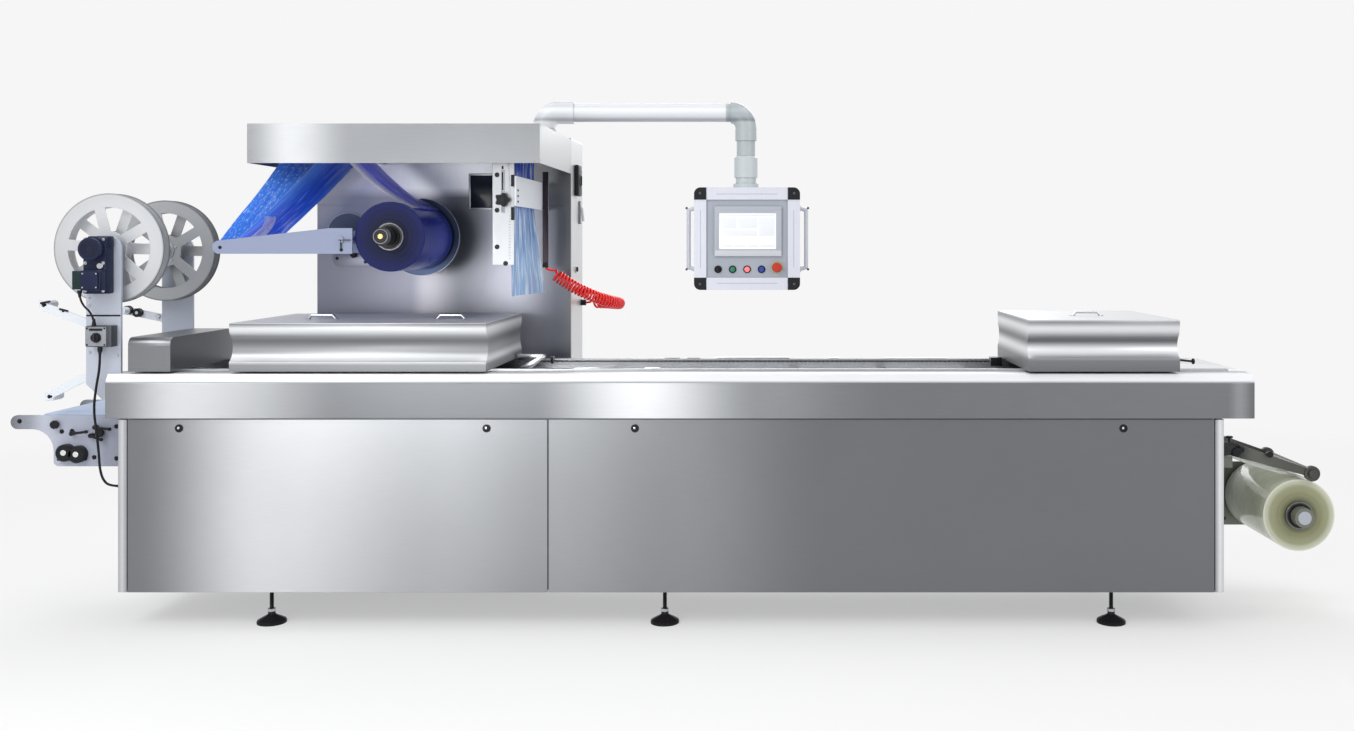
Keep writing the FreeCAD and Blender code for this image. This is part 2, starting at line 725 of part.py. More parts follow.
def make_panels():
    """Lift-off sheet panels, each seated on the housing between the corner posts."""
    rise = (PANEL_BOTTOM, panel_top)
    left_run = (housing_left + POST_WIDTH + SEAM_GAP / 2, panel_seam - SEAM_GAP / 2)
    right_run = (panel_seam + SEAM_GAP / 2, housing_right - POST_WIDTH - SEAM_GAP / 2)
    front = (housing_front, housing_front + PANEL_THICK)
    back = (housing_back - PANEL_THICK, housing_back)
    keep("front_panel_left", block(left_run, front, rise))
    keep("front_panel_right", block(right_run, front, rise))
    keep("back_panels", together(block(left_run, back, rise), block(right_run, back, rise)))
    between = (
        housing_front + POST_WIDTH + SEAM_GAP / 2,
        housing_back - POST_WIDTH - SEAM_GAP / 2,
    )
    left_end = block((housing_left, housing_left + PANEL_THICK), between, rise)
    right_end = block((housing_right - PANEL_THICK, housing_right), between, rise)
    keep("end_panels", together(left_end, right_end))


def make_panel_locks():
    """Quarter-turn locks near the top edge of the long panels."""
    lock_z = panel_top - LOCK_DROP
    locks = []
    for place_x in (
        housing_left + LOCK_INSET,
        panel_seam - LOCK_INSET,
        panel_seam + LOCK_INSET_MIDDLE,
        housing_right - LOCK_INSET_RIGHT,
    ):
        for start_y in (housing_front - LOCK_HEAD, housing_back):
            locks.append(rod("Y", LOCK_RADIUS, (place_x, start_y, lock_z), LOCK_HEAD))
    keep("panel_locks", together(*locks))


def make_feet():
    """Levelling feet: a pad, a cone and a threaded stud that seats under the housing."""
    stud_top = PANEL_BOTTOM + PANEL_THICK
    outline = [
        (0, 0),
        (FOOT_RADIUS, 0),
        (FOOT_RADIUS, FOOT_RIM),
        (STUD_RADIUS + FOOT_COLLAR, FOOT_CONE),
        (STUD_RADIUS + FOOT_COLLAR, FOOT_CONE + FOOT_NUT),
        (STUD_RADIUS, FOOT_CONE + FOOT_NUT),
        (STUD_RADIUS, stud_top),
        (0, stud_top),
    ]
    feet = []
    for place_x in (foot_left, foot_middle, foot_right):
        for side in (-1, 1):
            feet.append(turned(outline, (place_x, TABLE_MID + foot_spread * side, 0)))
    keep("levelling_feet", together(*feet))


def make_deck():
    """Deck bed with its deep skirt, and the sloping-edged strips round its top."""
    keep("deck_bed", block((DECK_LEFT, deck_right), (deck_front, deck_back), (skirt_bottom, bed_top)))
    inner_front = TABLE_MID - ledge_reach
    inner_back = TABLE_MID + ledge_reach
    front_outline = [
        (deck_front, bed_top),
        (inner_front, bed_top),
        (inner_front, DECK_TOP),
        (deck_front + EDGE_SLOPE, DECK_TOP),
    ]
    back_outline = [
        (inner_back, bed_top),
        (deck_back, bed_top),
        (deck_back - EDGE_SLOPE, DECK_TOP),
        (inner_back, DECK_TOP),
    ]
    keep("deck_ledge_front", prism("X", front_outline, DECK_LEFT, deck_right))
    keep("deck_ledge_back", prism("X", back_outline, DECK_LEFT, deck_right))
    left_outline = [
        (DECK_LEFT, bed_top),
        (DECK_LEFT + END_STRIP, bed_top),
        (DECK_LEFT + END_STRIP, DECK_TOP),
        (DECK_LEFT + EDGE_SLOPE, DECK_TOP),
    ]
    right_outline = [
        (deck_right - END_STRIP, bed_top),
        (deck_right, bed_top),
        (deck_right - EDGE_SLOPE, DECK_TOP),
        (deck_right - END_STRIP, DECK_TOP),
    ]
    keep("deck_ends", together(
        prism("Y", left_outline, inner_front, inner_back),
        prism("Y", right_outline, inner_front, inner_back),
    ))


def make_chain_guides():
    """Two slotted rails that carry the film chains along the whole deck."""
    run = (DECK_LEFT + END_STRIP, deck_right - END_STRIP)
    rails = []
    for side in (-1, 1):
        middle = TABLE_MID + guide_spread * side
        outer = (middle - GUIDE_WIDTH / 2, middle + GUIDE_WIDTH / 2)
        rail = block(run, outer, (bed_top, DECK_TOP + GUIDE_RISE))
        groove = block(
            (run[0] - 1, run[1] + 1),
            (middle - GUIDE_GROOVE / 2, middle + GUIDE_GROOVE / 2),
            (DECK_TOP + GUIDE_RISE - GUIDE_GROOVE_DEPTH, DECK_TOP + GUIDE_RISE + 1),
        )
        rails.append(cut(rail, groove))
    keep("chain_guides", together(*rails))


def make_deck_plates():
    """Index plates across the loading area, between the chain guides."""
    inner = guide_spread - GUIDE_WIDTH / 2 - PLATE_GAP
    deep = (TABLE_MID - inner, TABLE_MID + inner)
    rise = (bed_top, bed_top + PLATE_THICK)
    plates = []
    for index in range(PLATE_COUNT):
        low = sealing_left + SEALING_LENGTH + PLATE_START + PLATE_STEP * index
        plates.append(block((low, low + PLATE_LENGTH), deep, rise))
    keep("deck_plates", together(*plates))


def arc_radius(inward, upward, bulge):
    """Radius of the arc that stands out by the bulge between two places, as a length."""
    half = math.hypot(inward.number, upward.number) / 2
    ratio = (half * half + bulge.number**2) / (2 * bulge.number) / upward.number
    return upward * ratio


def make_banded_cover(label, left, length, height, foot, cove):
    """Folded guard with flat ends: an upright foot, a cove above it and a rounded band on top."""
    top = cover_bottom + height - GUIDE_RISE
    cove_low = cover_bottom + foot
    cove_high = cove_low + cove
    cove_radius = arc_radius(BAND_INSET, cove, COVE_DEPTH)
    band_radius = arc_radius(BAND_INSET - LIP_INSET, top - cove_high, BAND_BULGE)
    outline = [
        (cover_back, cover_bottom),
        (cover_back, cove_low),
        (cover_back - BAND_INSET, cove_high, cove_radius),
        (cover_back - LIP_INSET, top, -band_radius),
        (cover_front + LIP_INSET, top),
        (cover_front + BAND_INSET, cove_high, -band_radius),
        (cover_front, cove_low, cove_radius),
        (cover_front, cover_bottom),
    ]
    keep(label, prism("X", outline, left, left + length))


def make_cutter_cover():
    """Low guard over the cutters, rounded along its top."""
    top = cover_bottom + CUTTER_HEIGHT
    back = cover_front + CUTTER_DEPTH
    outline = [
        (back, cover_bottom),
        (back, top - CUTTER_ROUND),
        (back - CUTTER_ROUND, top, -CUTTER_ROUND),
        (cover_front + CUTTER_ROUND, top),
        (cover_front, top - CUTTER_ROUND, -CUTTER_ROUND),
        (cover_front, cover_bottom),
    ]
    keep("cutter_cover", prism("X", outline, cutter_left, cutter_left + CUTTER_LENGTH))


def bow(axis, middle, base):
    """A bow handle that stands on a flat top, long way along X."""
    legs = []
    for side in (-1, 1):
        leg_x = middle + (BOW_LENGTH / 2 - BOW_RADIUS) * side
        legs.append(rod("Z", BOW_RADIUS, (leg_x, axis, base), BOW_HEIGHT))
    start = (middle - BOW_LENGTH / 2, axis, base + BOW_HEIGHT - BOW_RADIUS)
    grip = rod("X", BOW_RADIUS, start, BOW_LENGTH)
    return fuse(grip, *legs)


def make_cover_handles():
    """Bow handles on the tops of the two banded covers."""
    seal_top = DECK_TOP + SEALING_HEIGHT + COVER_CLEAR
    form_top = DECK_TOP + FORMING_HEIGHT + COVER_CLEAR
    bow_y = TABLE_MID - BOW_FORWARD
    keep("cover_handles", together(
        bow(bow_y, sealing_left + SEALING_LENGTH * 0.26, seal_top),
        bow(bow_y, sealing_left + SEALING_LENGTH * 0.79, seal_top),
        bow(bow_y, forming_left + FORMING_LENGTH * 0.5, form_top),
    ))


def make_cabinet():
    """Rear cabinet with a door panel on each side face and its ties to the housing."""
    case = block(
        (cabinet_left, cabinet_right),
        (cabinet_front, cabinet_back),
        (PANEL_BOTTOM, CABINET_TOP),
    )
    door = block(
        (cabinet_left + DOOR_MARGIN, cabinet_right - DOOR_MARGIN),
        (cabinet_back - 1, cabinet_back + DOOR_THICK),
        (PANEL_BOTTOM + DOOR_MARGIN, CABINET_TOP - DOOR_MARGIN),
    )
    ties = []
    for level in (PANEL_BOTTOM + TIE_LIFT, bed_top - TIE_HEIGHT * 2):
        ties.append(block(
            (cabinet_left + TIE_INSET, cabinet_right - TIE_INSET),
            (deck_back, cabinet_front + 1),
            (level, level + TIE_HEIGHT),
        ))
    keep("rear_cabinet", fuse(case, door, *ties))


def make_cabinet_fittings():
    """Window on the front plate, main switch, handle and lock on the side."""
    window = block(
        (window_left, window_left + WINDOW_WIDTH),
        (cabinet_front - FITTING_THICK, cabinet_front),
        (window_bottom, window_bottom + WINDOW_HEIGHT),
    )
    switch = block(
        (cabinet_right, cabinet_right + SWITCH_DEPTH),
        (switch_front, switch_front + SWITCH_WIDTH),
        (switch_bottom, switch_bottom + SWITCH_HEIGHT),
    )
    turn_y = switch_front + SWITCH_WIDTH / 2
    turn_z = switch_bottom + SWITCH_HEIGHT * 0.45
    turn_start = (cabinet_right + SWITCH_DEPTH - 1, turn_y, turn_z)
    turn = rod("X", SWITCH_WIDTH * 0.26, turn_start, SWITCH_TURN + 1)
    lever_deep = (lever_front, lever_front + LEVER_FOOT)
    lever_x = cabinet_right + LEVER_FOOT
    foot = block((cabinet_right, lever_x), lever_deep, (lever_bottom, lever_bottom + LEVER_FOOT))
    lever = block(
        (lever_x - LEVER_THICK / 2, lever_x + LEVER_THICK / 2),
        lever_deep,
        (lever_bottom, lever_bottom + LEVER_LENGTH),
    )
    lock = rod("X", DOOR_LOCK, (cabinet_right, turn_y, door_lock_z), LEVER_THICK)
    keep("cabinet_fittings", together(window, fuse(switch, turn), fuse(foot, lever), lock))


def make_hood():
    """Folded hood over the top film, open below and closed by the cabinet behind."""
    body = new_body()
    outer = rectangle(cabinet_left, cabinet_right, hood_front, cabinet_front)
    extrude(body, "Z", outer, hood_bottom, hood_top)
    inner = rectangle(
        cabinet_left + HOOD_WALL,
        cabinet_right - HOOD_WALL,
        hood_front + HOOD_WALL,
        cabinet_front - HOOD_WALL,
    )
    sketch = sketch_on(body, "Z", hood_bottom)
    draw_outline(sketch, inner)
    hollow = body.newObject("PartDesign::Pocket", name_for("hollow"))
    hollow.Profile = sketch
    hollow.Reversed = True
    bind(hollow, "Length", HOOD_HEIGHT - HOOD_WALL)
    body.Tip = hollow
    keep("hood_canopy", body)


def make_hood_idlers():
    """Idler rollers that carry the web through the hood, seated on its end walls."""
    front = hood_front + HOOD_WALL
    length = cabinet_front - HOOD_WALL - front
    rollers = []
    for place_x, place_z in (
        (idler_left, idler_z),
        (idler_feed, idler_z - FEED_DROP),
        (idler_right, idler_z),
    ):
        pin = rod("Y", IDLER_RADIUS * 0.45, (place_x, front, place_z), length)
        sleeve_start = (place_x, film_front - IDLER_OVER, place_z)
        sleeve = rod("Y", IDLER_RADIUS, sleeve_start, FILM_WIDTH + IDLER_OVER * 2)
        rollers.append(fuse(pin, sleeve))
    keep("hood_idlers", together(*rollers))


def make_top_shaft():
    """Cantilever shaft for the top roll, with its bearing and back flange."""
    nose = film_front - CORE_PROUD - SHAFT_NOSE
    flange_front = film_back + CORE_PROUD + FLANGE_GAP
    outline = [
        (0, nose),
        (SHAFT_RADIUS * 0.5, nose),
        (SHAFT_RADIUS * 0.5, nose + SHAFT_TENON),
        (SHAFT_RADIUS - SHAFT_BEVEL, nose + SHAFT_TENON),
        (SHAFT_RADIUS, nose + SHAFT_TENON + SHAFT_BEVEL),
        (SHAFT_RADIUS, flange_front),
        (FLANGE_RADIUS, flange_front),
        (FLANGE_RADIUS, flange_front + FLANGE_THICK),
        (SHAFT_RADIUS, flange_front + FLANGE_THICK),
        (SHAFT_RADIUS, cabinet_front - BEARING_LENGTH),
        (BEARING_RADIUS, cabinet_front - BEARING_LENGTH),
        (BEARING_RADIUS, cabinet_front),
        (0, cabinet_front),
    ]
    keep("top_roll_shaft", turned(outline, (top_roll_x, 0, top_roll_z), "Y"))


def film_roll(radius, bore, point):
    """A wound film roll: the core stands proud of the winding at both ends."""
    half = FILM_WIDTH / 2
    end = half + CORE_PROUD
    core = bore + CORE_WALL
    outline = [
        (bore, -end),
        (core, -end),
        (core, -half),
        (radius - ROLL_EDGE, -half),
        (radius, -half + ROLL_EDGE),
        (radius, half - ROLL_EDGE),
        (radius - ROLL_EDGE, half),
        (core, half),
        (core, end),
        (bore, end),
    ]
    return turned(outline, point, "Y")


def make_top_roll():
    centre = (top_roll_x, TABLE_MID, top_roll_z)
    keep("top_film_roll", film_roll(TOP_ROLL_RADIUS, SHAFT_RADIUS + RUN_CLEAR, centre))


def make_dancer():
    """Two tapered arms on a pivot tube from the cabinet, with the dancer roller between."""
    low = dancer_z - DANCER_TIP
    outline = [
        (pivot_x + PIVOT_PLATE, low),
        (pivot_x + PIVOT_PLATE, pivot_z + PIVOT_PLATE),
        (pivot_x - PIVOT_PLATE, pivot_z + PIVOT_PLATE),
        (dancer_x, dancer_z + DANCER_TIP),
        (dancer_x - DANCER_TIP, dancer_z, -DANCER_TIP),
        (dancer_x, low, -DANCER_TIP),
    ]
    arms = []
    half = DANCER_ARM / 2
    for side in (-1, 1):
        face = TABLE_MID + arm_spread * side
        arms.append(prism("Y", outline, face - half, face + half))
    arm_front = TABLE_MID - arm_spread - half
    tube = rod("Y", PIVOT_RADIUS, (pivot_x, arm_front, pivot_z), cabinet_front - arm_front)
    boss = rod("Y", PIVOT_RADIUS * 2, (pivot_x, cabinet_front - PIVOT_BOSS, pivot_z), PIVOT_BOSS)
    cap = rod("Y", PIVOT_RADIUS * 0.7, (pivot_x, arm_front - PIVOT_CAP, pivot_z), PIVOT_CAP + 1)
    keep("dancer_arms", fuse(*arms, tube, boss, cap))
    start = TABLE_MID - arm_spread + half
    length = 2 * arm_spread - DANCER_ARM
    keep("dancer_roller", rod("Y", DANCER_RADIUS, (dancer_x, start, dancer_z), length))


def strip(start, end, thick):
    """A film strip between two (x, z) points, as wide as the film, thick upwards."""
    outline = [start, end, (end[0], end[1] + thick), (start[0], start[1] + thick)]
    return prism("Y", outline, film_front, film_back)


def tangent_lean(first, first_reach, second, second_reach):
    """Which way a film faces that runs over two rollers, as the x and z of its outer normal."""
    run_x = second[0].number - first[0].number
    run_z = second[1].number - first[1].number
    fall = math.atan2(-run_z, run_x)
    spread = math.acos((first_reach.number - second_reach.number) / math.hypot(run_x, run_z))
    return math.cos(spread - fall), math.sin(spread - fall)


def make_top_web():
    """Top film: off the roll, over the feed idler, round the dancer and across the hood."""
    feed_z = idler_z - FEED_DROP
    roll_reach = TOP_ROLL_RADIUS + FILM_CLEAR
    idler_reach = IDLER_RADIUS + SEAT_CLEAR
    lean_x, lean_z = tangent_lean((idler_feed, feed_z), idler_reach, (top_roll_x, top_roll_z), roll_reach)
    feed = strip(
        (idler_feed + idler_reach * lean_x, feed_z + idler_reach * lean_z),
        (top_roll_x + roll_reach * lean_x, top_roll_z + roll_reach * lean_z),
        FILM_THICK,
    )
    roller_reach = DANCER_RADIUS + SEAT_CLEAR + FILM_THICK
    dancer = (dancer_x, dancer_z)
    rise_x, rise_z = tangent_lean(dancer, -roller_reach, (idler_feed, feed_z), idler_reach)
    down = strip(
        (dancer_x - roller_reach * rise_x, dancer_z - roller_reach * rise_z - FILM_THICK),
        (idler_feed + idler_reach * rise_x, feed_z + idler_reach * rise_z),
        FILM_THICK,
    )
    up_outline = [
        (dancer_x - roller_reach * 0.79 - FILM_THICK, dancer_z + roller_reach * 0.61),
        (dancer_x - roller_reach * 0.79, dancer_z + roller_reach * 0.61),
        (idler_left - idler_reach * 0.79, idler_z + idler_reach * 0.61),
        (idler_left - idler_reach * 0.79 - FILM_THICK, idler_z + idler_reach * 0.61),
    ]
    up = prism("Y", up_outline, film_front, film_back)
    across = strip(
        (idler_left, idler_z + idler_reach),
        (idler_right, idler_z + idler_reach),
        FILM_THICK,
    )
    keep("top_web", together(feed, down, up, across))


def make_web_tail():
    """Free end of the film, hanging from the last idler past the guide plate."""
    face = idler_right + IDLER_RADIUS + SEAT_CLEAR
    keep("top_web_tail", block((face, face + FILM_THICK), (film_front, film_back), (tail_bottom, idler_z)))


def make_guide_brackets():
    """Slotted front bracket hung in the hood, and the bar at the back of the plate."""
    front_faces = (bracket_front, bracket_front + BRACKET_THICK)
    plate = block((bracket_left, guide_x), front_faces, (bracket_bottom, hood_top - HOOD_WALL))
    slot_x = bracket_left + BRACKET_WIDTH / 2
    slot = block(
        (slot_x - SLOT_WIDTH / 2, slot_x + SLOT_WIDTH / 2),
        (bracket_front - 1, bracket_front + BRACKET_THICK + 1),
        (slot_bottom, slot_bottom + SLOT_LENGTH),
    )
    pin_start = (idler_right, bracket_front - 1, idler_z)
    pin_hole = rod("Y", IDLER_RADIUS * 0.45 + RUN_CLEAR, pin_start, BRACKET_THICK + 2)
    bar_x = guide_x + GUIDE_THICK
    bar_deep = (bar_front, bar_front + BRACKET_THICK)
    bar = block((bar_x, bar_x + BAR_WIDTH), bar_deep, (bracket_bottom, hood_bottom))
    keep("guide_brackets", together(cut(plate, slot, pin_hole), bar))


def make_guide_plate():
    """Upright plate along the web's edge, from the front bracket to the cabinet."""
    rise = (guide_bottom, guide_bottom + GUIDE_HEIGHT)
    keep("guide_plate", block((guide_x, guide_x + GUIDE_THICK), (bracket_front, cabinet_front), rise))


def make_guide_knobs():
    """Clamp knob on the slotted bracket and the bolts round it."""
    slot_x = bracket_left + BRACKET_WIDTH / 2
    knob_z = slot_bottom + KNOB_RADIUS * 1.7
    knob = rod("Y", KNOB_RADIUS, (slot_x, bracket_front - KNOB_LENGTH, knob_z), KNOB_LENGTH)
    bolts = []
    for count in (1, 2):
        start = (bracket_left + BOLT_INSET, bracket_front - BOLT_HEAD, bracket_bottom + BOLT_STEP * count)
        bolts.append(rod("Y", BOLT_RADIUS, start, BOLT_HEAD))
    keep("guide_knobs", together(knob, *bolts))


def quarter_bend(radius, bend, centre, turn):
    """A quarter of a ring that joins two round tubes square to each other."""
    ring = doc.addObject("Part::Torus", name_for("bend"))
    bind(ring, "Radius1", bend)
    bind(ring, "Radius2", radius)
    ring.Angle3 = 90
    ring.Placement = FreeCAD.Placement(Vector(), turn)
    for letter, value in zip("xyz", centre):
        bind(ring, f"Placement.Base.{letter}", value)
    return ring


def make_pendant():
    """Turning arm for the control box: low flange, knuckle, tube and drop elbow."""
    base = turned(
        [
            (0, hood_top),
            (PENDANT_RADIUS, hood_top),
            (PENDANT_RADIUS, base_top - PENDANT_BEVEL),
            (PENDANT_RADIUS - PENDANT_BEVEL, base_top),
            (0, base_top),
        ],
        (pendant_x, pendant_y, 0),
    )
    keep("pendant_base", base)
    knuckle_x = pendant_x + ELBOW_BEND
    bend_z = arm_z - ELBOW_BEND
    rising = Rotation(Vector(-1, 0, 0), Vector(0, 0, 1), Vector(0, 1, 0), "XYZ")
    falling = Rotation(Vector(1, 0, 0), 90)
    leg_low = base_top + TURN_CLEAR
    leg = rod("Z", KNUCKLE_RADIUS, (pendant_x, pendant_y, leg_low), bend_z - leg_low)
    knuckle = quarter_bend(KNUCKLE_RADIUS, ELBOW_BEND, (knuckle_x, pendant_y, bend_z), rising)
    sleeve_end = pendant_x + KNUCKLE_LENGTH
    sleeve = rod("X", KNUCKLE_RADIUS, (knuckle_x, pendant_y, arm_z), sleeve_end - knuckle_x)
    elbow_x = panel_axis_x - ELBOW_BEND
    tube = rod("X", ARM_RADIUS, (sleeve_end, pendant_y, arm_z), elbow_x - sleeve_end)
    elbow = quarter_bend(ELBOW_RADIUS, ELBOW_BEND, (elbow_x, pendant_y, bend_z), falling)
    drop = rod("Z", ELBOW_RADIUS, (panel_axis_x, pendant_y, drop_end), bend_z - drop_end)
    end = neck_top + TURN_CLEAR
    spigot = rod("Z", ARM_RADIUS, (panel_axis_x, pendant_y, end), drop_end - end)
    keep("pendant_arm", fuse(leg, knuckle, sleeve, tube, elbow, drop, spigot))


def make_control_box():
    """Control box: extruded frame, moulded corners, inner panel, screen and buttons."""
    middle_x = panel_axis_x + BOX_SHIFT
    left = middle_x - BOX_WIDTH / 2
    right = middle_x + BOX_WIDTH / 2
    bottom = box_top - BOX_HEIGHT
    front = pendant_y - BOX_DEPTH / 2
    back = pendant_y + BOX_DEPTH / 2
    neck = turned(
        [
            (0, box_top),
            (NECK_FLANGE, box_top),
            (NECK_FLANGE, box_top + NECK_FOOT),
            (NECK_WAIST, box_top + NECK_FOOT),
            (NECK_WAIST, neck_top - NECK_COLLAR),
            (NECK_RADIUS, neck_top - NECK_COLLAR),
            (NECK_RADIUS, neck_top - NECK_BEVEL),
            (NECK_RADIUS - NECK_BEVEL, neck_top),
            (0, neck_top),
        ],
        (panel_axis_x, pendant_y, 0),
    )
    keep("control_neck", neck)
    inner_left = left + PROFILE_WIDTH
    inner_right = right - PROFILE_WIDTH
    inner_bottom = bottom + PROFILE_WIDTH
    inner_top = box_top - PROFILE_WIDTH
    deep = (front, back)
    keep("control_frame", together(
        block((inner_left, inner_right), deep, (inner_top, box_top)),
        block((inner_left, inner_right), deep, (bottom, inner_bottom)),
        block((left, inner_left), deep, (inner_bottom, inner_top)),
        block((inner_right, right), deep, (inner_bottom, inner_top)),
    ))
    faces = (front - CORNER_PROUD, back + CORNER_PROUD)
    top_left = [
        (inner_left, inner_top),
        (inner_left, box_top),
        (left + CORNER_ROUND, box_top),
        (left, box_top - CORNER_ROUND, -CORNER_ROUND),
        (left, inner_top),
    ]
    top_right = [
        (inner_right, inner_top),
        (right, inner_top),
        (right, box_top - CORNER_ROUND),
        (right - CORNER_ROUND, box_top, -CORNER_ROUND),
        (inner_right, box_top),
    ]
    bottom_left = [
        (inner_left, inner_bottom),
        (left, inner_bottom),
        (left, bottom + CORNER_ROUND),
        (left + CORNER_ROUND, bottom, -CORNER_ROUND),
        (inner_left, bottom),
    ]
    bottom_right = [
        (inner_right, inner_bottom),
        (inner_right, bottom),
        (right - CORNER_ROUND, bottom),
        (right, bottom + CORNER_ROUND, -CORNER_ROUND),
        (right, inner_bottom),
    ]
    corners = [prism("Y", outline, *faces) for outline in (top_left, top_right, bottom_left, bottom_right)]
    keep("control_corners", together(*corners))
    plate_front = front + PLATE_RECESS
    keep("control_plate", block(
        (inner_left, inner_right),
        (plate_front, back - PLATE_RECESS / 2),
        (inner_bottom, inner_top),
    ))
    bezel_left = middle_x + BEZEL_SHIFT - BEZEL_WIDTH / 2
    bezel_top = inner_top - BEZEL_DROP
    bezel = block(
        (bezel_left, bezel_left + BEZEL_WIDTH),
        (plate_front - BEZEL_THICK, plate_front),
        (bezel_top - BEZEL_HEIGHT, bezel_top),
    )
    window = block(
        (bezel_left + BEZEL_LEFT, bezel_left + BEZEL_WIDTH - BEZEL_RIGHT),
        (plate_front - BEZEL_THICK - 1, plate_front - BEZEL_THICK + SCREEN_RECESS),
        (bezel_top - BEZEL_HEIGHT + BEZEL_LOW, bezel_top - BEZEL_HIGH),
    )
    keep("control_screen", cut(bezel, window))
    buttons = []
    for count in range(4):
        button_x = middle_x - BUTTON_FAR + BUTTON_STEP * count
        start = (button_x, plate_front - BUTTON_LENGTH, button_row)
        buttons.append(rod("Y", BUTTON_RADIUS, start, BUTTON_LENGTH))
    stop_x = middle_x + STOP_OFFSET
    stop_z = button_row + STOP_LIFT
    collar_start = (stop_x, plate_front - STOP_COLLAR, stop_z)
    collar = rod("Y", STOP_RADIUS + STOP_COLLAR, collar_start, STOP_COLLAR)
    stop = rod("Y", STOP_RADIUS, (stop_x, plate_front - STOP_LENGTH, stop_z), STOP_LENGTH)
    keep("control_buttons", together(*buttons, fuse(collar, stop)))
    grips = []
    grip_low = button_row - GRIP_DROP
    for edge, outer in ((left, left - GRIP_REACH), (right, right + GRIP_REACH)):
        legs = []
        for level in (grip_low + GRIP_RADIUS, grip_low + GRIP_HEIGHT - GRIP_RADIUS):
            start_x = outer if edge is left else edge
            legs.append(rod("X", GRIP_RADIUS, (start_x, pendant_y, level), GRIP_REACH))
        bar = rod("Z", GRIP_RADIUS, (outer, pendant_y, grip_low), GRIP_HEIGHT)
        grips.append(fuse(bar, *legs))
    keep("control_handles", together(*grips))


def cut_windows(body, level, turn):
    """Ring of windows through one flange of a reel, between its spokes."""
    low = REEL_HUB + REEL_HUB_FACE
    high = REEL_RADIUS - REEL_RIM
    half_gap = math.pi / REEL_SPOKES
    low_angle = half_gap - math.asin(REEL_SPOKE.number / 2 / low.number)
    high_angle = half_gap - math.asin(REEL_SPOKE.number / 2 / high.number)
    window = sketch_on(body, "Z", level)
    draw_outline(window, [
        (high * math.cos(turn - high_angle), high * math.sin(turn - high_angle)),
        (high * math.cos(turn + high_angle), high * math.sin(turn + high_angle), -high),
        (low * math.cos(turn + low_angle), low * math.sin(turn + low_angle)),
        (low * math.cos(turn - low_angle), low * math.sin(turn - low_angle), low),
    ])
    pocket = body.newObject("PartDesign::Pocket", name_for("windows"))
    pocket.Profile = window
    pocket.Reversed = True
    bind(pocket, "Length", REEL_FLANGE * 1.5)
    pattern = body.newObject("PartDesign::PolarPattern", name_for("pattern"))
    pattern.Originals = [pocket]
    pattern.Axis = (origin_plane(body, "Z_Axis"), [""])
    pattern.Angle = 360
    pattern.Occurrences = REEL_SPOKES
    body.Tip = pattern
    return pattern


def make_reel(label, centre_x, centre_z, side):
    """Trim reel: two thin spoked flanges on one hub, with the winding space between."""
    half = REEL_SPACE / 2
    outer = half + REEL_FLANGE
    body = new_body()
    sketch = sketch_on(body, "Y")
    draw_outline(sketch, [
        (REEL_SHAFT + RUN_CLEAR, -outer),
        (REEL_RADIUS, -outer),
        (REEL_RADIUS, -half),
        (REEL_HUB, -half),
        (REEL_HUB, half),
        (REEL_RADIUS, half),
        (REEL_RADIUS, outer),
        (REEL_SHAFT + RUN_CLEAR, outer),
    ])
    turn = body.newObject("PartDesign::Revolution", name_for("reel"))
    turn.Profile = sketch
    turn.ReferenceAxis = (sketch, ["V_Axis"])
    turn.Angle = 360
    cut_windows(body, -half - REEL_FLANGE * 1.25, NEAR_WINDOW_TURN)
    pattern = cut_windows(body, half - REEL_FLANGE * 0.25, FAR_WINDOW_TURN)
    body.Tip = pattern
    keep(label, place(body, (centre_x, TABLE_MID + reel_spread * side, centre_z), "Y"))


def span_rod(radius, centre, one_end, other_end):
    """A round bar along Y between two places given in either order."""
    low, high = sorted((one_end, other_end), key=lambda value: value.number)
    return rod("Y", radius, (centre[0], low, centre[1]), high - low)


def make_reel_posts():
    """Two upright plates at the outfeed end that carry the trim reels on stub axles."""
    knee = post_low + POST_KNEE
    outline = [
        (DECK_LEFT, post_low),
        (DECK_LEFT, DECK_TOP),
        (post_right, DECK_TOP),
        (post_right, post_top - POST_ROUND),
        (post_right - POST_ROUND, post_top, -POST_ROUND),
        (post_left + POST_ROUND, post_top),
        (post_left, post_top - POST_ROUND, -POST_ROUND),
        (post_left, knee),
        (DECK_LEFT - POST_TOE, post_low),
    ]
    posts = []
    reach = REEL_SPACE / 2 + REEL_FLANGE
    for side, centre_x, centre_z in ((-1, reel_front_x, reel_front_z), (1, reel_back_x, reel_back_z)):
        middle = TABLE_MID + post_spread * side
        plate = prism("Y", outline, middle - POST_THICK / 2, middle + POST_THICK / 2)
        reel_y = TABLE_MID + reel_spread * side
        inner_end = reel_y - (reach + REEL_CLEAR) * side
        collar_end = reel_y + (reach + COLLAR_GAP) * side
        post_face = middle - POST_THICK / 2 * side
        cap_end = inner_end - (AXLE_CAP - AXLE_CAP_LAP) * side
        cap_start = inner_end + AXLE_CAP_LAP * side
        axle = span_rod(REEL_SHAFT, (centre_x, centre_z), inner_end, post_face)
        collar = span_rod(REEL_SHAFT * 2, (centre_x, centre_z), collar_end, post_face)
        cap = span_rod(REEL_SHAFT * 1.8, (centre_x, centre_z), cap_end, cap_start)
        posts.append(fuse(plate, axle, collar, cap))
    keep("reel_posts", together(*posts))


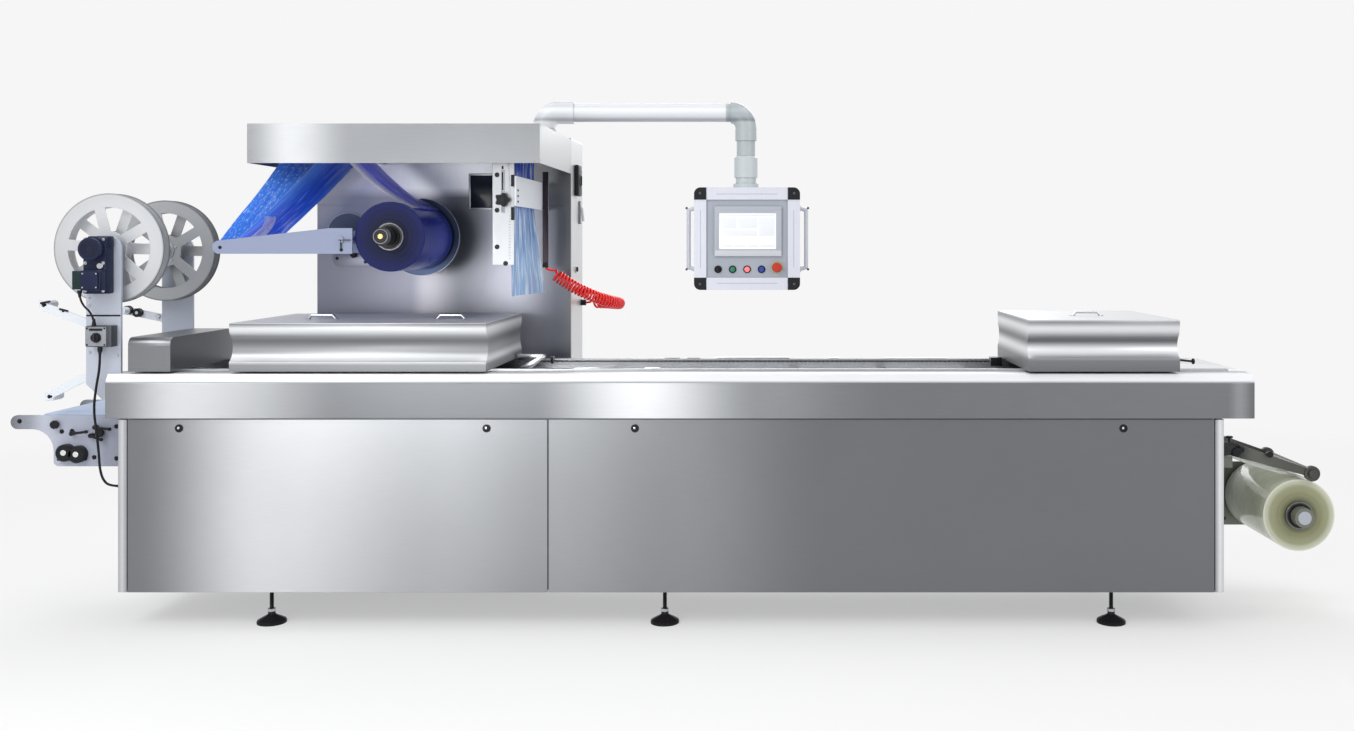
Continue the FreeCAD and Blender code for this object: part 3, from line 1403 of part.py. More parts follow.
def make_reel_motor():
    """Geared winder motor on the front post: gear case, round motor, terminal box."""
    gear_front = post_front - GEAR_DEPTH
    gear = block(
        (reel_front_x - GEAR_SIZE / 2, reel_front_x + GEAR_SIZE / 2),
        (gear_front, post_front),
        (terminal_bottom - GEAR_DROP, motor_z + GEAR_SIZE / 2),
    )
    motor = rod("Y", MOTOR_RADIUS, (reel_front_x, gear_front - MOTOR_LENGTH, motor_z), MOTOR_LENGTH)
    ring_start = (reel_front_x, gear_front - MOTOR_RING_LENGTH, motor_z)
    ring = rod("Y", MOTOR_RADIUS + MOTOR_RING, ring_start, MOTOR_RING_LENGTH)
    terminal = block(
        (terminal_left, terminal_left + TERMINAL_WIDTH),
        (gear_front - TERMINAL_DEPTH + TERMINAL_LAP, gear_front + TERMINAL_LAP),
        (terminal_bottom, terminal_top),
    )
    keep("reel_motor", fuse(gear, motor, ring, terminal))


def make_reel_switch():
    """Switch box with a rotary knob, on the front of the post."""
    case = block(
        (switch_box_left, switch_box_left + SWITCH_BOX_WIDTH),
        (post_front - SWITCH_BOX_DEPTH, post_front),
        (switch_box_bottom, switch_box_bottom + SWITCH_BOX_HEIGHT),
    )
    knob_x = switch_box_left + SWITCH_BOX_WIDTH * 0.45
    knob_z = switch_box_bottom + SWITCH_BOX_HEIGHT * 0.45
    knob_start = (knob_x, post_front - SWITCH_BOX_DEPTH - SMALL_KNOB_LENGTH, knob_z)
    knob = rod("Y", SMALL_KNOB, knob_start, SMALL_KNOB_LENGTH + 1)
    keep("reel_switch_box", fuse(case, knob))


def trim_arm(high, low, plane_y):
    """A flat arm from the post's left edge out to a small roller."""
    outline = [
        (high[0], high[1] - ARM_HEIGHT / 2),
        (low[0], low[1] - ARM_HEIGHT / 2),
        (low[0], low[1] + ARM_HEIGHT / 2),
        (high[0], high[1] + ARM_HEIGHT / 2),
    ]
    half = ARM_THICK / 2
    plate = prism("Y", outline, plane_y - half, plane_y + half)
    start_y = plane_y
    if plane_y.number > TABLE_MID.number:
        start_y = plane_y - TRIM_ROLLER_LENGTH
    roller = rod("Y", TRIM_ROLLER, (high[0] + ARM_HEIGHT / 2, start_y, high[1]), TRIM_ROLLER_LENGTH)
    return fuse(plate, roller)


def make_trim_guides():
    """Arms that lead the edge trim from the cutters up to the reels."""
    front_y = TABLE_MID - post_spread
    back_y = TABLE_MID + post_spread
    keep("trim_guides", together(
        trim_arm((trim_tip, trim_high_z), (post_left, trim_high_z - trim_high_fall), front_y),
        trim_arm((trim_tip + trim_spread, trim_low_z), (post_left, trim_low_z + trim_low_climb), front_y),
        trim_arm((trim_tip + trim_spread, trim_back_z), (post_left, trim_back_z - trim_back_fall), back_y),
    ))


def make_outfeed_plates():
    """Horned side plates of the outfeed, bolted to the end of the housing."""
    nose = OUTFEED_NOSE / 2
    throat = outfeed_top - OUTFEED_NOSE
    sweep = OUTFEED_SWEEP
    outline = [
        (housing_left, outfeed_bottom),
        (housing_left, outfeed_top),
        (outfeed_tip + nose, outfeed_top),
        (outfeed_tip, outfeed_top - nose, -nose),
        (outfeed_tip + nose, throat, -nose),
        (outfeed_step - sweep, throat),
        (outfeed_step, throat - sweep, sweep),
        (outfeed_step, outfeed_bottom + OUTFEED_ROUND),
        (outfeed_step + OUTFEED_ROUND, outfeed_bottom, -OUTFEED_ROUND),
    ]
    plates = []
    for side in (-1, 1):
        middle = TABLE_MID + outfeed_spread * side
        plates.append(prism("Y", outline, middle - OUTFEED_PLATE / 2, middle + OUTFEED_PLATE / 2))
    keep("outfeed_plates", together(*plates))


def make_outfeed_belt():
    """Short discharge belt between the side plates, as one closed loop."""
    top = outfeed_top + BELT_PROUD
    reach = outfeed_spread - OUTFEED_PLATE / 2 - SEAT_CLEAR
    outline = capsule(belt_left, DECK_LEFT - BELT_GAP, top - BELT_HEIGHT, top)
    keep("outfeed_belt", prism("Y", outline, TABLE_MID - reach, TABLE_MID + reach))


def make_outfeed_fittings():
    """Belt drive cover and clamp levers on the front side plate."""
    face = TABLE_MID - outfeed_spread - OUTFEED_PLATE / 2
    cover_low = outfeed_bottom + DRIVE_INSET
    cover = prism(
        "Y",
        capsule(drive_left, drive_left + DRIVE_WIDTH, cover_low, cover_low + DRIVE_HEIGHT),
        face - DRIVE_THICK,
        face,
    )
    pieces = [cover]
    clamps = (
        (drive_left - CLAMP_OUT, outfeed_top - CLAMP_HIGH),
        (drive_left + DRIVE_WIDTH + CLAMP_IN, outfeed_top - CLAMP_LOW),
    )
    for knob_x, knob_z in clamps:
        pieces.append(rod("Y", SMALL_KNOB, (knob_x, face - CLAMP_LENGTH, knob_z), CLAMP_LENGTH))
    keep("outfeed_fittings", together(*pieces))


def make_unwind_bracket():
    """Back plate and cantilever shaft that carry the bottom film roll."""
    plate_front = film_back + CORE_PROUD + FLANGE_GAP
    half = UNWIND_HEIGHT / 2
    outline = [
        (housing_right, bottom_roll_z - half),
        (bottom_roll_x, bottom_roll_z - half),
        (bottom_roll_x + half, bottom_roll_z, -half),
        (bottom_roll_x, bottom_roll_z + half, -half),
        (housing_right, bottom_roll_z + half),
    ]
    plate = prism("Y", outline, plate_front, plate_front + UNWIND_PLATE)
    foot = block(
        (housing_right, housing_right + UNWIND_PLATE),
        (plate_front - UNWIND_FOOT, plate_front + UNWIND_PLATE),
        (bottom_roll_z - half, bottom_roll_z + half),
    )
    nose = film_front - CORE_PROUD - BOTTOM_NOSE
    shaft = rod("Y", BOTTOM_SHAFT, (bottom_roll_x, nose, bottom_roll_z), plate_front - nose)
    keep("unwind_bracket", fuse(plate, foot, shaft))


def make_bottom_roll():
    centre = (bottom_roll_x, TABLE_MID, bottom_roll_z)
    keep("bottom_film_roll", film_roll(BOTTOM_ROLL_RADIUS, BOTTOM_SHAFT + RUN_CLEAR, centre))


def make_unwind_dancer():
    """Dancer arms over the bottom roll, on a pivot tube between two ears."""
    pivot = (unwind_pivot_x, unwind_pivot_z)
    tip = (unwind_arm_x, unwind_arm_z)
    outline = link_outline(pivot, UNWIND_ARM_HALF, tip, UNWIND_TIP_HALF)
    pieces = []
    half = DANCER_ARM / 2
    for side in (-1, 1):
        middle = TABLE_MID + unwind_spread * side
        pieces.append(prism("Y", outline, middle - half, middle + half))
        boss_start = (unwind_arm_x, middle - UNWIND_BOSS_LENGTH / 2, unwind_arm_z)
        pieces.append(rod("Y", UNWIND_BOSS, boss_start, UNWIND_BOSS_LENGTH))
        pieces.append(block(
            (housing_right, unwind_pivot_x),
            (middle - half - EAR_THICK, middle - half),
            (unwind_pivot_z - UNWIND_ARM_HALF, unwind_pivot_z + UNWIND_ARM_HALF),
        ))
    start = TABLE_MID - unwind_spread
    length = unwind_spread * 2
    pieces.append(rod("Y", UNWIND_ROLLER, (unwind_arm_x, start, unwind_arm_z), length))
    pieces.append(rod("Y", UNWIND_ROLLER * 0.8, (unwind_pivot_x, start, unwind_pivot_z), length))
    keep("unwind_dancer", fuse(*pieces))


def make_bottom_web():
    """Bottom film from the top of its roll over an idler into the end of the housing."""
    reach = BOTTOM_ROLL_RADIUS + FILM_CLEAR
    idler_reach = IDLER_RADIUS + SEAT_CLEAR
    idler = (web_idler_x, web_idler_z)
    lean_x, lean_z = tangent_lean(idler, idler_reach, (bottom_roll_x, bottom_roll_z), reach)
    idler_top = web_idler_z + idler_reach
    bend_x = web_idler_x + idler_reach * ((1 - lean_z) / lean_x)
    outline = [
        (housing_right, idler_top),
        (bend_x, idler_top),
        (bottom_roll_x + reach * lean_x, bottom_roll_z + reach * lean_z),
        (bottom_roll_x + reach * lean_x, bottom_roll_z + reach * lean_z + FILM_THICK),
        (bend_x, idler_top + FILM_THICK),
        (housing_right, idler_top + FILM_THICK),
    ]
    keep("bottom_web", prism("Y", outline, film_front, film_back))
    ears = []
    for side in (-1, 1):
        middle = TABLE_MID + ear_spread * side
        ears.append(block(
            (housing_right, web_idler_x + IDLER_RADIUS),
            (middle - IDLER_EAR / 2, middle + IDLER_EAR / 2),
            (web_idler_z - IDLER_RADIUS, web_idler_z + IDLER_RADIUS),
        ))
    roller = rod("Y", IDLER_RADIUS, (web_idler_x, TABLE_MID - ear_spread, web_idler_z), ear_spread * 2)
    keep("web_idler", fuse(roller, *ears))


def make_cable_glands():
    """Glands where the winder cables leave their boxes, and the air hose fittings."""
    motor_gland = rod("Z", GLAND_RADIUS, motor_cable_start, GLAND_SHORT)
    box_gland = rod("Z", GLAND_RADIUS, supply_cable_start, GLAND_LONG)
    end_gland = rod("X", GLAND_RADIUS, supply_cable_end, GLAND_END)
    hose_start = rod("Z", HOSE_FITTING, air_hose_start, HOSE_FITTING_LENGTH)
    hose_end = rod("X", HOSE_SOCKET, (cabinet_right, air_hose_end[1], air_hose_end[2]), HOSE_SOCKET_LENGTH)
    keep("cable_glands", together(motor_gland, box_gland, end_gland, hose_start, hose_end))


def cord(label, points, diameter):
    """A plain tube along straight runs joined by arcs as large as the runs allow."""
    corners = [Vector(*[as_size(value).number for value in point]) for point in points]
    edges = []
    cursor = corners[0]
    for before, corner, after in zip(corners, corners[1:], corners[2:]):
        come = corner - before
        leave = after - corner
        turn = come.getAngle(leave)
        shorter = min(come.Length, leave.Length)
        cut_back = 0.45 * shorter
        radius = cut_back / math.tan(turn / 2)
        first = corner - come.normalize() * cut_back
        last = corner + leave.normalize() * cut_back
        bisector = ((first - corner) + (last - corner)).normalize()
        centre = corner + bisector * (radius / math.cos(turn / 2))
        middle = centre - bisector * radius
        edges.append(Part.LineSegment(cursor, first).toShape())
        edges.append(Part.Arc(first, middle, last).toShape())
        cursor = last
        print(f"{label}: turn {math.degrees(turn):.0f} degrees, radius {radius:.0f} mm")
    edges.append(Part.LineSegment(cursor, corners[-1]).toShape())
    path = Part.Wire(edges)
    start_way = (corners[1] - corners[0]).normalize()
    ring = Part.Wire([Part.Circle(corners[0], start_way, diameter / 2).toShape()])
    tube = path.makePipeShell([ring], True, False)
    expected = math.pi * (diameter / 2) ** 2 * path.Length
    share = tube.Volume / expected
    print(f"{label}: {path.Length:.0f} mm long, volume {share:.4f} of its section times length")
    feature = doc.addObject("Part::Feature", name_for("cord"))
    feature.Shape = tube
    keep(label, feature)


def route(start, steps, end):
    """Corner points of a cord: its start, places typed as steps from there, and its end."""
    between = [tuple(value + step for value, step in zip(start, point)) for point in steps]
    return [start, *between, end]


MOTOR_CABLE_STEPS = [(0, 0, -36), (39, 28, -86)]
SUPPLY_CABLE_STEPS = [
    (0, 0, -58),
    (-16, 5, -128),
    (-32, 13, -218),
    (-24, 21, -313),
    (-22, 33, -393),
    (-24, 43, -453),
    (-16, 51, -498),
    (8, 53, -522),
]
AIR_HOSE_STEPS = [
    (90, 21, -70),
    (190, 73, -126),
    (263, 146, -154),
    (290, 246, -166),
    (270, 330, -170),
    (212, 395, -169),
]


def make_cords():
    motor_route = route(motor_cable_start, MOTOR_CABLE_STEPS, motor_cable_end)
    supply_route = route(supply_cable_start, SUPPLY_CABLE_STEPS, supply_cable_end)
    hose_route = route(air_hose_start, AIR_HOSE_STEPS, air_hose_end)
    cord("motor_cable", motor_route, CABLE_DIAMETER.number)
    cord("supply_cable", supply_route, CABLE_DIAMETER.number)
    cord("air_hose", hose_route, HOSE_DIAMETER.number)


make_housing()
make_panels()
make_panel_locks()
make_feet()
make_deck()
make_chain_guides()
make_deck_plates()
make_banded_cover(
    "sealing_cover", sealing_left, SEALING_LENGTH, SEALING_HEIGHT, SEALING_FOOT, SEALING_COVE
)
make_banded_cover(
    "forming_cover", forming_left, FORMING_LENGTH, FORMING_HEIGHT, FORMING_FOOT, FORMING_COVE
)
make_cutter_cover()
make_cover_handles()
make_cabinet()
make_cabinet_fittings()
make_hood()
make_hood_idlers()
make_top_shaft()
make_top_roll()
make_dancer()
make_top_web()
make_web_tail()
make_guide_brackets()
make_guide_plate()
make_guide_knobs()
make_pendant()
make_control_box()
make_reel("trim_reel_front", reel_front_x, reel_front_z, -1)
make_reel("trim_reel_back", reel_back_x, reel_back_z, 1)
make_reel_posts()
make_reel_motor()
make_reel_switch()
make_trim_guides()
make_outfeed_plates()
make_outfeed_belt()
make_outfeed_fittings()
make_unwind_bracket()
make_bottom_roll()
make_unwind_dancer()
make_bottom_web()
make_cable_glands()
make_cords()


def check_document():
    """Stop on any object that failed, and on any sub-part that is not a sound solid."""
    for item in doc.Objects:
        failed = [word for word in item.State if word in ("Invalid", "Error")]
        if failed:
            raise RuntimeError(f"{item.Name} ({item.Label}) is {failed}")
    for label, solid in nodes.items():
        if solid.Shape.isNull() or not solid.Shape.isValid():
            raise RuntimeError(f"{label} has no sound shape")


def write_nodes():
    os.makedirs("parts", exist_ok=True)
    for label, solid in nodes.items():
        solid.Shape.exportStep(os.path.join("parts", f"{label}.step"))


doc.recompute()
check_document()
write_nodes()
box = FreeCAD.BoundBox()
for solid in nodes.values():
    box.add(solid.Shape.BoundBox)
print(f"{len(nodes)} sub-parts, {box.XLength:.0f} x {box.YLength:.0f} x {box.ZLength:.0f} mm")
for axis, low, high in (
    ("x", box.XMin, box.XMax),
    ("y", box.YMin, box.YMax),
    ("z", box.ZMin, box.ZMax),
):
    print(f"{axis} {low:.1f}..{high:.1f}")
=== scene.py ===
"""Looks of the thermoforming packaging machine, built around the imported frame."""
import math
import random

import bmesh
import bpy
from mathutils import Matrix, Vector, noise


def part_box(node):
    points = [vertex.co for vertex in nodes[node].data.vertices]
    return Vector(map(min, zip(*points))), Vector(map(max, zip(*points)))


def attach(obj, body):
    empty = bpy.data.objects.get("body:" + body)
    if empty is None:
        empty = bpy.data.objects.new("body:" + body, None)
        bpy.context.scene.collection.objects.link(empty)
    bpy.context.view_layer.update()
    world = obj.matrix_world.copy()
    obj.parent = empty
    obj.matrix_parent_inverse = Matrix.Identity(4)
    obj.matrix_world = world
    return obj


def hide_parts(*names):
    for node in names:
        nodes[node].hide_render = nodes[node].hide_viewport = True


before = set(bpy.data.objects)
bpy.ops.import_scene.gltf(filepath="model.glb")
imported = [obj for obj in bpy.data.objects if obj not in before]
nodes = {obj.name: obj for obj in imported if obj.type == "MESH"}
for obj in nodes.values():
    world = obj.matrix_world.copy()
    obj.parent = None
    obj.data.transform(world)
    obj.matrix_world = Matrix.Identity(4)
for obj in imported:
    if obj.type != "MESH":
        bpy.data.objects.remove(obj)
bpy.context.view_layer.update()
scene = bpy.context.scene
random.seed(7)


def mm(*place):
    """A place in the row frame, given in millimetres."""
    return Vector(place) / 1000


# Camera, as the photograph was taken
camera_data = bpy.data.cameras.new("camera")
camera_data.sensor_width = 36
camera_data.lens = 33.6
camera_data.shift_x = -0.0724
camera_data.shift_y = -0.0897
camera = bpy.data.objects.new("camera", camera_data)
camera.location = mm(390, -5326, 1467)
camera.rotation_euler = (math.pi / 2, 0, 0)
scene.collection.objects.link(camera)
scene.camera = camera
scene.view_settings.view_transform = "Standard"


def linear(value):
    """One sRGB channel of 0 to 255 as linear light."""
    value = value / 255
    return value / 12.92 if value <= 0.04045 else ((value + 0.055) / 1.055) ** 2.4


def rgb(red, green, blue):
    return (linear(red), linear(green), linear(blue), 1)


def grey(value):
    """A neutral tone with the faint cool cast of stainless steel."""
    return rgb(value, min(255, value + 2), min(255, value + 5))


BACKGROUND = rgb(246, 246, 246)
FRONT, REAR = (0, -1, 0), (0, 1, 0)
RIGHT, LEFT = (1, 0, 0), (-1, 0, 0)
UP, DOWN = (0, 0, 1), (0, 0, -1)


def add_node(tree, kind, inputs, **settings):
    """A shader node; each of its inputs is a constant or the output that feeds it."""
    made = tree.nodes.new("ShaderNode" + kind)
    for setting, value in settings.items():
        setattr(made, setting, value)
    for socket, value in inputs.items():
        if isinstance(value, bpy.types.NodeSocket):
            tree.links.new(value, made.inputs[socket])
        else:
            made.inputs[socket].default_value = value
    return made


def studio():
    """Pale backdrop for the camera and reflections, dimmer light for the rest, and five soft lamps."""
    world = bpy.data.worlds.new("studio")
    scene.world = world
    world.use_nodes = True
    tree = world.node_tree
    seen = tree.nodes["Background"]
    seen.inputs["Color"].default_value = BACKGROUND
    lit = add_node(tree, "Background", {"Color": (1, 1, 1, 1), "Strength": 0.62})
    rays = tree.nodes.new("ShaderNodeLightPath").outputs
    total = rays["Is Camera Ray"]
    for ray in ("Is Glossy Ray", "Is Transmission Ray"):
        total = add_node(tree, "Math", {0: total, 1: rays[ray]}, operation="MAXIMUM").outputs[0]
    mix = add_node(tree, "MixShader", {0: total, 1: lit.outputs[0], 2: seen.outputs[0]})
    tree.links.new(mix.outputs[0], tree.nodes["World Output"].inputs[0])
    for label, place, size, power in (
        ("key", (-3.4, -4.4, 4.8), (3.2, 3.2), 150), ("fill", (4.6, -4.0, 3.4), (3.0, 3.0), 60),
        ("top", (0.2, 0.4, 5.2), (6.0, 2.0), 90), ("rear", (0.5, 4.8, 3.8), (4.0, 3.0), 110),
        ("front", (-1.7, -4.2, 1.1), (1.6, 1.0), 27)
    ):
        data = bpy.data.lights.new(label, "AREA")
        data.shape = "RECTANGLE"
        data.size, data.size_y = size
        data.energy = power
        lamp = bpy.data.objects.new(label, data)
        lamp.location = place
        way = Vector((0, 0, 0.9)) - lamp.location
        lamp.rotation_euler = way.to_track_quat("-Z", "Y").to_euler()
        scene.collection.objects.link(lamp)


def floor():
    """Pale floor that keeps the shadow near the machine and fades to the backdrop's tone."""
    mesh = bpy.data.meshes.new("floor")
    reach = 60
    corners = [(-reach, -reach, 0), (reach, -reach, 0), (reach, reach, 0), (-reach, reach, 0)]
    mesh.from_pydata(corners, [], [(0, 1, 2, 3)])
    ground = bpy.data.objects.new("floor", mesh)
    scene.collection.objects.link(ground)
    material = bpy.data.materials.new("floor")
    material.use_nodes = True
    tree = material.node_tree
    shade = tree.nodes["Principled BSDF"]
    shade.inputs["Base Color"].default_value = rgb(240, 240, 240)
    shade.inputs["Roughness"].default_value = 0.9
    glow = add_node(tree, "Emission", {"Color": BACKGROUND})
    place = tree.nodes.new("ShaderNodeTexCoord").outputs["Object"]
    away = add_node(tree, "VectorMath", {0: place}, operation="LENGTH").outputs["Value"]
    fade = add_node(tree, "MapRange", {"Value": away, "From Min": 2.6, "From Max": 6.5, "To Min": 0.45})
    mix = add_node(tree, "MixShader", {0: fade.outputs["Result"], 1: shade.outputs[0], 2: glow.outputs[0]})
    tree.links.new(mix.outputs[0], tree.nodes["Material Output"].inputs[0])
    mesh.materials.append(material)


studio()
floor()


# Range that the sum of the fine and the broad grain stays in
GRAIN_LOW, GRAIN_HIGH = 0.45, 1.05


def surface(
    name, colour, rough=0.4, metal=0.0, stretch=(1, 1, 1), scale=60, spread=0.06, rough_spread=0.08,
    bump=0.05, bump_depth=0.0004, ramps=(), upper=None, centre=None, flecks=None, through=0.0, shader=None
):
    """A material whose colour, roughness and relief vary with one stretched grain.

    ramps are (axis, [(place in mm, tone 0-255), ...]) and tint the colour along an axis, or
    along "R", the distance from the line along Y through centre, an (x, z) in millimetres.
    upper is (low, high, axis, stops), a ramp that takes over between two heights.
    flecks is (colour, low, high): the grain shows that colour where it rises from low to high.
    through is the share of light that passes, and shader gives the shader's own constants.
    """
    material = bpy.data.materials.new(name)
    material.use_nodes = True
    tree = material.node_tree
    shade = tree.nodes["Principled BSDF"]
    for socket, value in {"Metallic": metal, **(shader or {})}.items():
        shade.inputs[socket].default_value = value

    def add(kind, inputs, **settings):
        return add_node(tree, kind, inputs, **settings)

    place = tree.nodes.new("ShaderNodeTexCoord").outputs["Object"]
    grain, radius = place, None
    if centre:
        shift = add("VectorMath", {0: place, 1: mm(centre[0], 0, centre[1])}, operation="SUBTRACT")
        flat = add("VectorMath", {0: shift.outputs["Vector"], 1: (1, 0, 1)}, operation="MULTIPLY")
        radius = add("VectorMath", {0: flat.outputs["Vector"]}, operation="LENGTH").outputs["Value"]
        grain = add("CombineXYZ", {"X": radius}).outputs["Vector"]
    mapping = add("Mapping", {"Vector": grain, "Scale": stretch})
    fine = add(
        "TexNoise", {"Vector": mapping.outputs["Vector"], "Scale": scale, "Detail": 5}
    ).outputs["Fac"]
    broad = add("TexNoise", {"Vector": place, "Scale": 2.3, "Detail": 3}).outputs["Fac"]
    both = add("Math", {0: broad, 1: 0.5, 2: fine}, operation="MULTIPLY_ADD").outputs[0]
    parts = add("SeparateXYZ", {0: place}).outputs

    def spread_over(low, high):
        """The grain's own level, mapped to run from low to high."""
        reach = {"From Min": GRAIN_LOW, "From Max": GRAIN_HIGH, "To Min": low, "To Max": high}
        return add("MapRange", {"Value": both, **reach}).outputs["Result"]

    def rise(value, low, high):
        return add("MapRange", {"Value": value, "From Min": low, "From Max": high}).outputs["Result"]

    def along(axis, low, high):
        return rise(radius if axis == "R" else parts[axis], low / 1000, high / 1000)

    def tones(axis, stops):
        low, high = stops[0][0], stops[-1][0]
        ramp = add("ValToRGB", {"Fac": along(axis, low, high)})
        ramp.color_ramp.interpolation = "EASE"
        points = ramp.color_ramp.elements
        while len(points) < len(stops):
            points.new(0.5)
        for point, (at, tone) in zip(points, stops):
            point.position = (at - low) / (high - low)
            point.color = grey(tone) if isinstance(tone, (int, float)) else rgb(*tone)
        return ramp.outputs["Color"]

    def blended(kind, factor, first, second):
        blend = add("Mix", {"Factor": factor, "A": first, "B": second}, data_type="RGBA", blend_type=kind)
        return blend.outputs["Result"]

    tinted = colour
    for number, (axis, stops) in enumerate(ramps):
        tone = tones(axis, stops)
        tinted = blended("MULTIPLY", 1, tinted, tone) if number else tone
    if upper:
        low, high, axis, stops = upper
        tinted = blended("MIX", along("Z", low, high), tinted, tones(axis, stops))
    if flecks:
        fleck_colour, low, high = flecks
        tinted = blended("MIX", rise(fine, low, high), tinted, fleck_colour)
    painted = blended("MULTIPLY", 1, tinted, spread_over(1 - spread, 1 + spread))
    worn = spread_over(max(0.02, rough - rough_spread), rough + rough_spread)
    relief = add("Bump", {"Strength": bump, "Distance": bump_depth, "Height": fine}).outputs["Normal"]
    for socket, value in (("Base Color", painted), ("Roughness", worn), ("Normal", relief)):
        tree.links.new(value, shade.inputs[socket])
    if through:
        passing = add("BsdfTranslucent", {"Color": painted})
        mix = add("MixShader", {0: through, 1: shade.outputs[0], 2: passing.outputs[0]})
        tree.links.new(mix.outputs[0], tree.nodes["Material Output"].inputs[0])
    return material


ALONG = (0.6, 30, 30)
UPRIGHT = (30, 30, 0.6)


def steel(name, tone, rough=0.36, stretch=ALONG, ramps=(), spread=0.05, upper=None, metal=1):
    return surface(
        name, grey(tone), rough, metal=metal, stretch=stretch, scale=22, spread=spread, rough_spread=0.06,
        bump=0.12, bump_depth=0.0002, ramps=ramps, upper=upper
    )


# LEFT_PANEL, RIGHT_PANEL, SKIRT and HOOD paint light, shade and reflections into the steel along X: the
# bright and dark zones of the room mirrored in the polished sheets, and the hood's lit right side face
LEFT_PANEL = [(-2117, 118), (-2060, 124), (-1560, 210), (-900, 170), (-478, 150)]
RIGHT_PANEL = [(-474, 155), (0, 140), (600, 115), (2103, 116)]
SKIRT = [
    (-2156, 140), (-1880, 210), (-1240, 120), (-540, 120), (-85, 218), (330, 146), (830, 122),
    (2110, 124), (2155, 150), (2213, 112)
]
HOOD = [(-1637, 150), (-1480, 196), (-1230, 138), (-513, 142), (-511, 188)]
# CABINET paints reflections into the cabinet front: a blue cast mirrored from the film, bright and dark
# vertical bands, and the lit right side face at x -511
CABINET = [
    (-1637, (124, 126, 140)), (-1230, (150, 152, 166)), (-1160, (182, 182, 190)),
    (-1000, (116, 118, 126)), (-775, (172, 173, 184)), (-560, (90, 94, 104)), (-516, 94), (-511, 224)
]
# UNDER_HOOD_REFLECTION paints the bright reflection zone on the cabinet front just under the hood, and the
# lit right side face
UNDER_HOOD_REFLECTION = [
    (-1637, (136, 138, 152)), (-1340, (206, 206, 224)), (-1120, 250), (-960, 250), (-640, 122),
    (-516, 100), (-511, 224)
]
# CORNER_SHADING paints highlight and shade round the rounded corner posts at both ends
CORNER_SHADING = [
    (-2117, 168), (-2100, 206), (-2081, 150), (-2070, 120), (2055, 112), (2070, 146), (2086, 226),
    (2103, 196)
]
# LEDGE paints highlight and shade across the bends of the front ledge
LEDGE = [(-526, 150), (-520, 218), (-474, 220), (-462, 160), (-440, 150), (-424, 176), (-416, 190)]

steel_left = steel("steel_left_panel", 170, ramps=[("X", LEFT_PANEL)])
steel_right = steel("steel_right_panel", 130, ramps=[("X", RIGHT_PANEL)])
steel_skirt = steel("steel_skirt", 150, ramps=[("X", SKIRT)])
steel_corner = steel("steel_corner", 120, ramps=[("X", CORNER_SHADING)])
steel_edge = steel("steel_edge", 206, rough=0.45, metal=0.4)
steel_ledge = steel("steel_ledge", 226, rough=0.45, ramps=[("Y", LEDGE)], metal=0.4)
steel_hood = steel("steel_hood", 170, ramps=[("X", HOOD)])
steel_cabinet = steel("steel_cabinet", 130, rough=0.34, stretch=UPRIGHT, ramps=[("X", CABINET)], metal=0.5)
# A sheet in front of the cabinet under the hood that only carries painted light: the cabinet's painted
# reflections, and above 1672 mm the bright under-hood reflection
painted_light_sheet = steel(
    "painted_light_sheet", 130, rough=0.36, stretch=UPRIGHT, ramps=[("X", CABINET)],
    upper=(1672, 1716, "X", UNDER_HOOD_REFLECTION), metal=0.5
)
steel_plain = steel("steel_plain", 168)
steel_dark = steel("steel_dark", 120)
steel_fine = steel("steel_fine", 196, rough=0.26)
steel_bright = steel("steel_bright", 232, rough=0.22)
bolt_steel = surface("bolt_steel", grey(186), 0.3, metal=1, scale=200, spread=0.1, bump=0.1)
# The covers' tones along Z paint the bright and dark reflections of their curved bands: painted highlights
# and shade
SEAL_BAND_SHADING = [
    (981, 128), (1003, 134), (1028, 228), (1056, 158), (1096, 112), (1144, 222), (1162, 130), (1165, 196)
]
FORM_BAND_SHADING = [(981, 104), (1018, 114), (1060, 224), (1098, 98), (1145, 218), (1170, 138), (1178, 198)]
steel_seal = steel("steel_sealing_cover", 190, rough=0.4, ramps=[("Z", SEAL_BAND_SHADING)], metal=0.4)
steel_form = steel("steel_forming_cover", 190, rough=0.4, ramps=[("Z", FORM_BAND_SHADING)], metal=0.4)
steel_cutter = steel("steel_cutter_cover", 128, rough=0.34)
# SHAFT darkens the shaft from its bright nose into the roll and gives it a blue tint behind it: painted
# shade and a painted reflection of the blue roll
SHAFT = [(-506, 92), (-480, 70), (-380, 58), (40, (58, 66, 88)), (64, (60, 70, 94)), (270, (72, 76, 88))]
shaft_steel = steel("shaft_steel", 100, rough=0.3, stretch=(30, 0.6, 30), ramps=[("Y", SHAFT)])
# BRACKET darkens the rear guide bracket towards black as painted shade; the front bracket keeps a light
# tone
BRACKET = [(-434, 158), (-420, 152), (60, 120), (112, (60, 53, 58)), (128, (52, 46, 52))]
bracket_steel = steel("bracket_steel", 200, rough=0.34, stretch=UPRIGHT, ramps=[("Y", BRACKET)])
chrome = surface(
    "roller_chrome", grey(206), 0.14, metal=1, stretch=(30, 0.6, 30), scale=18, spread=0.03,
    rough_spread=0.04, bump=0.05
)
FRONT_REEL = (-2187, 1450)
BACK_REEL = (-2198, 1439)
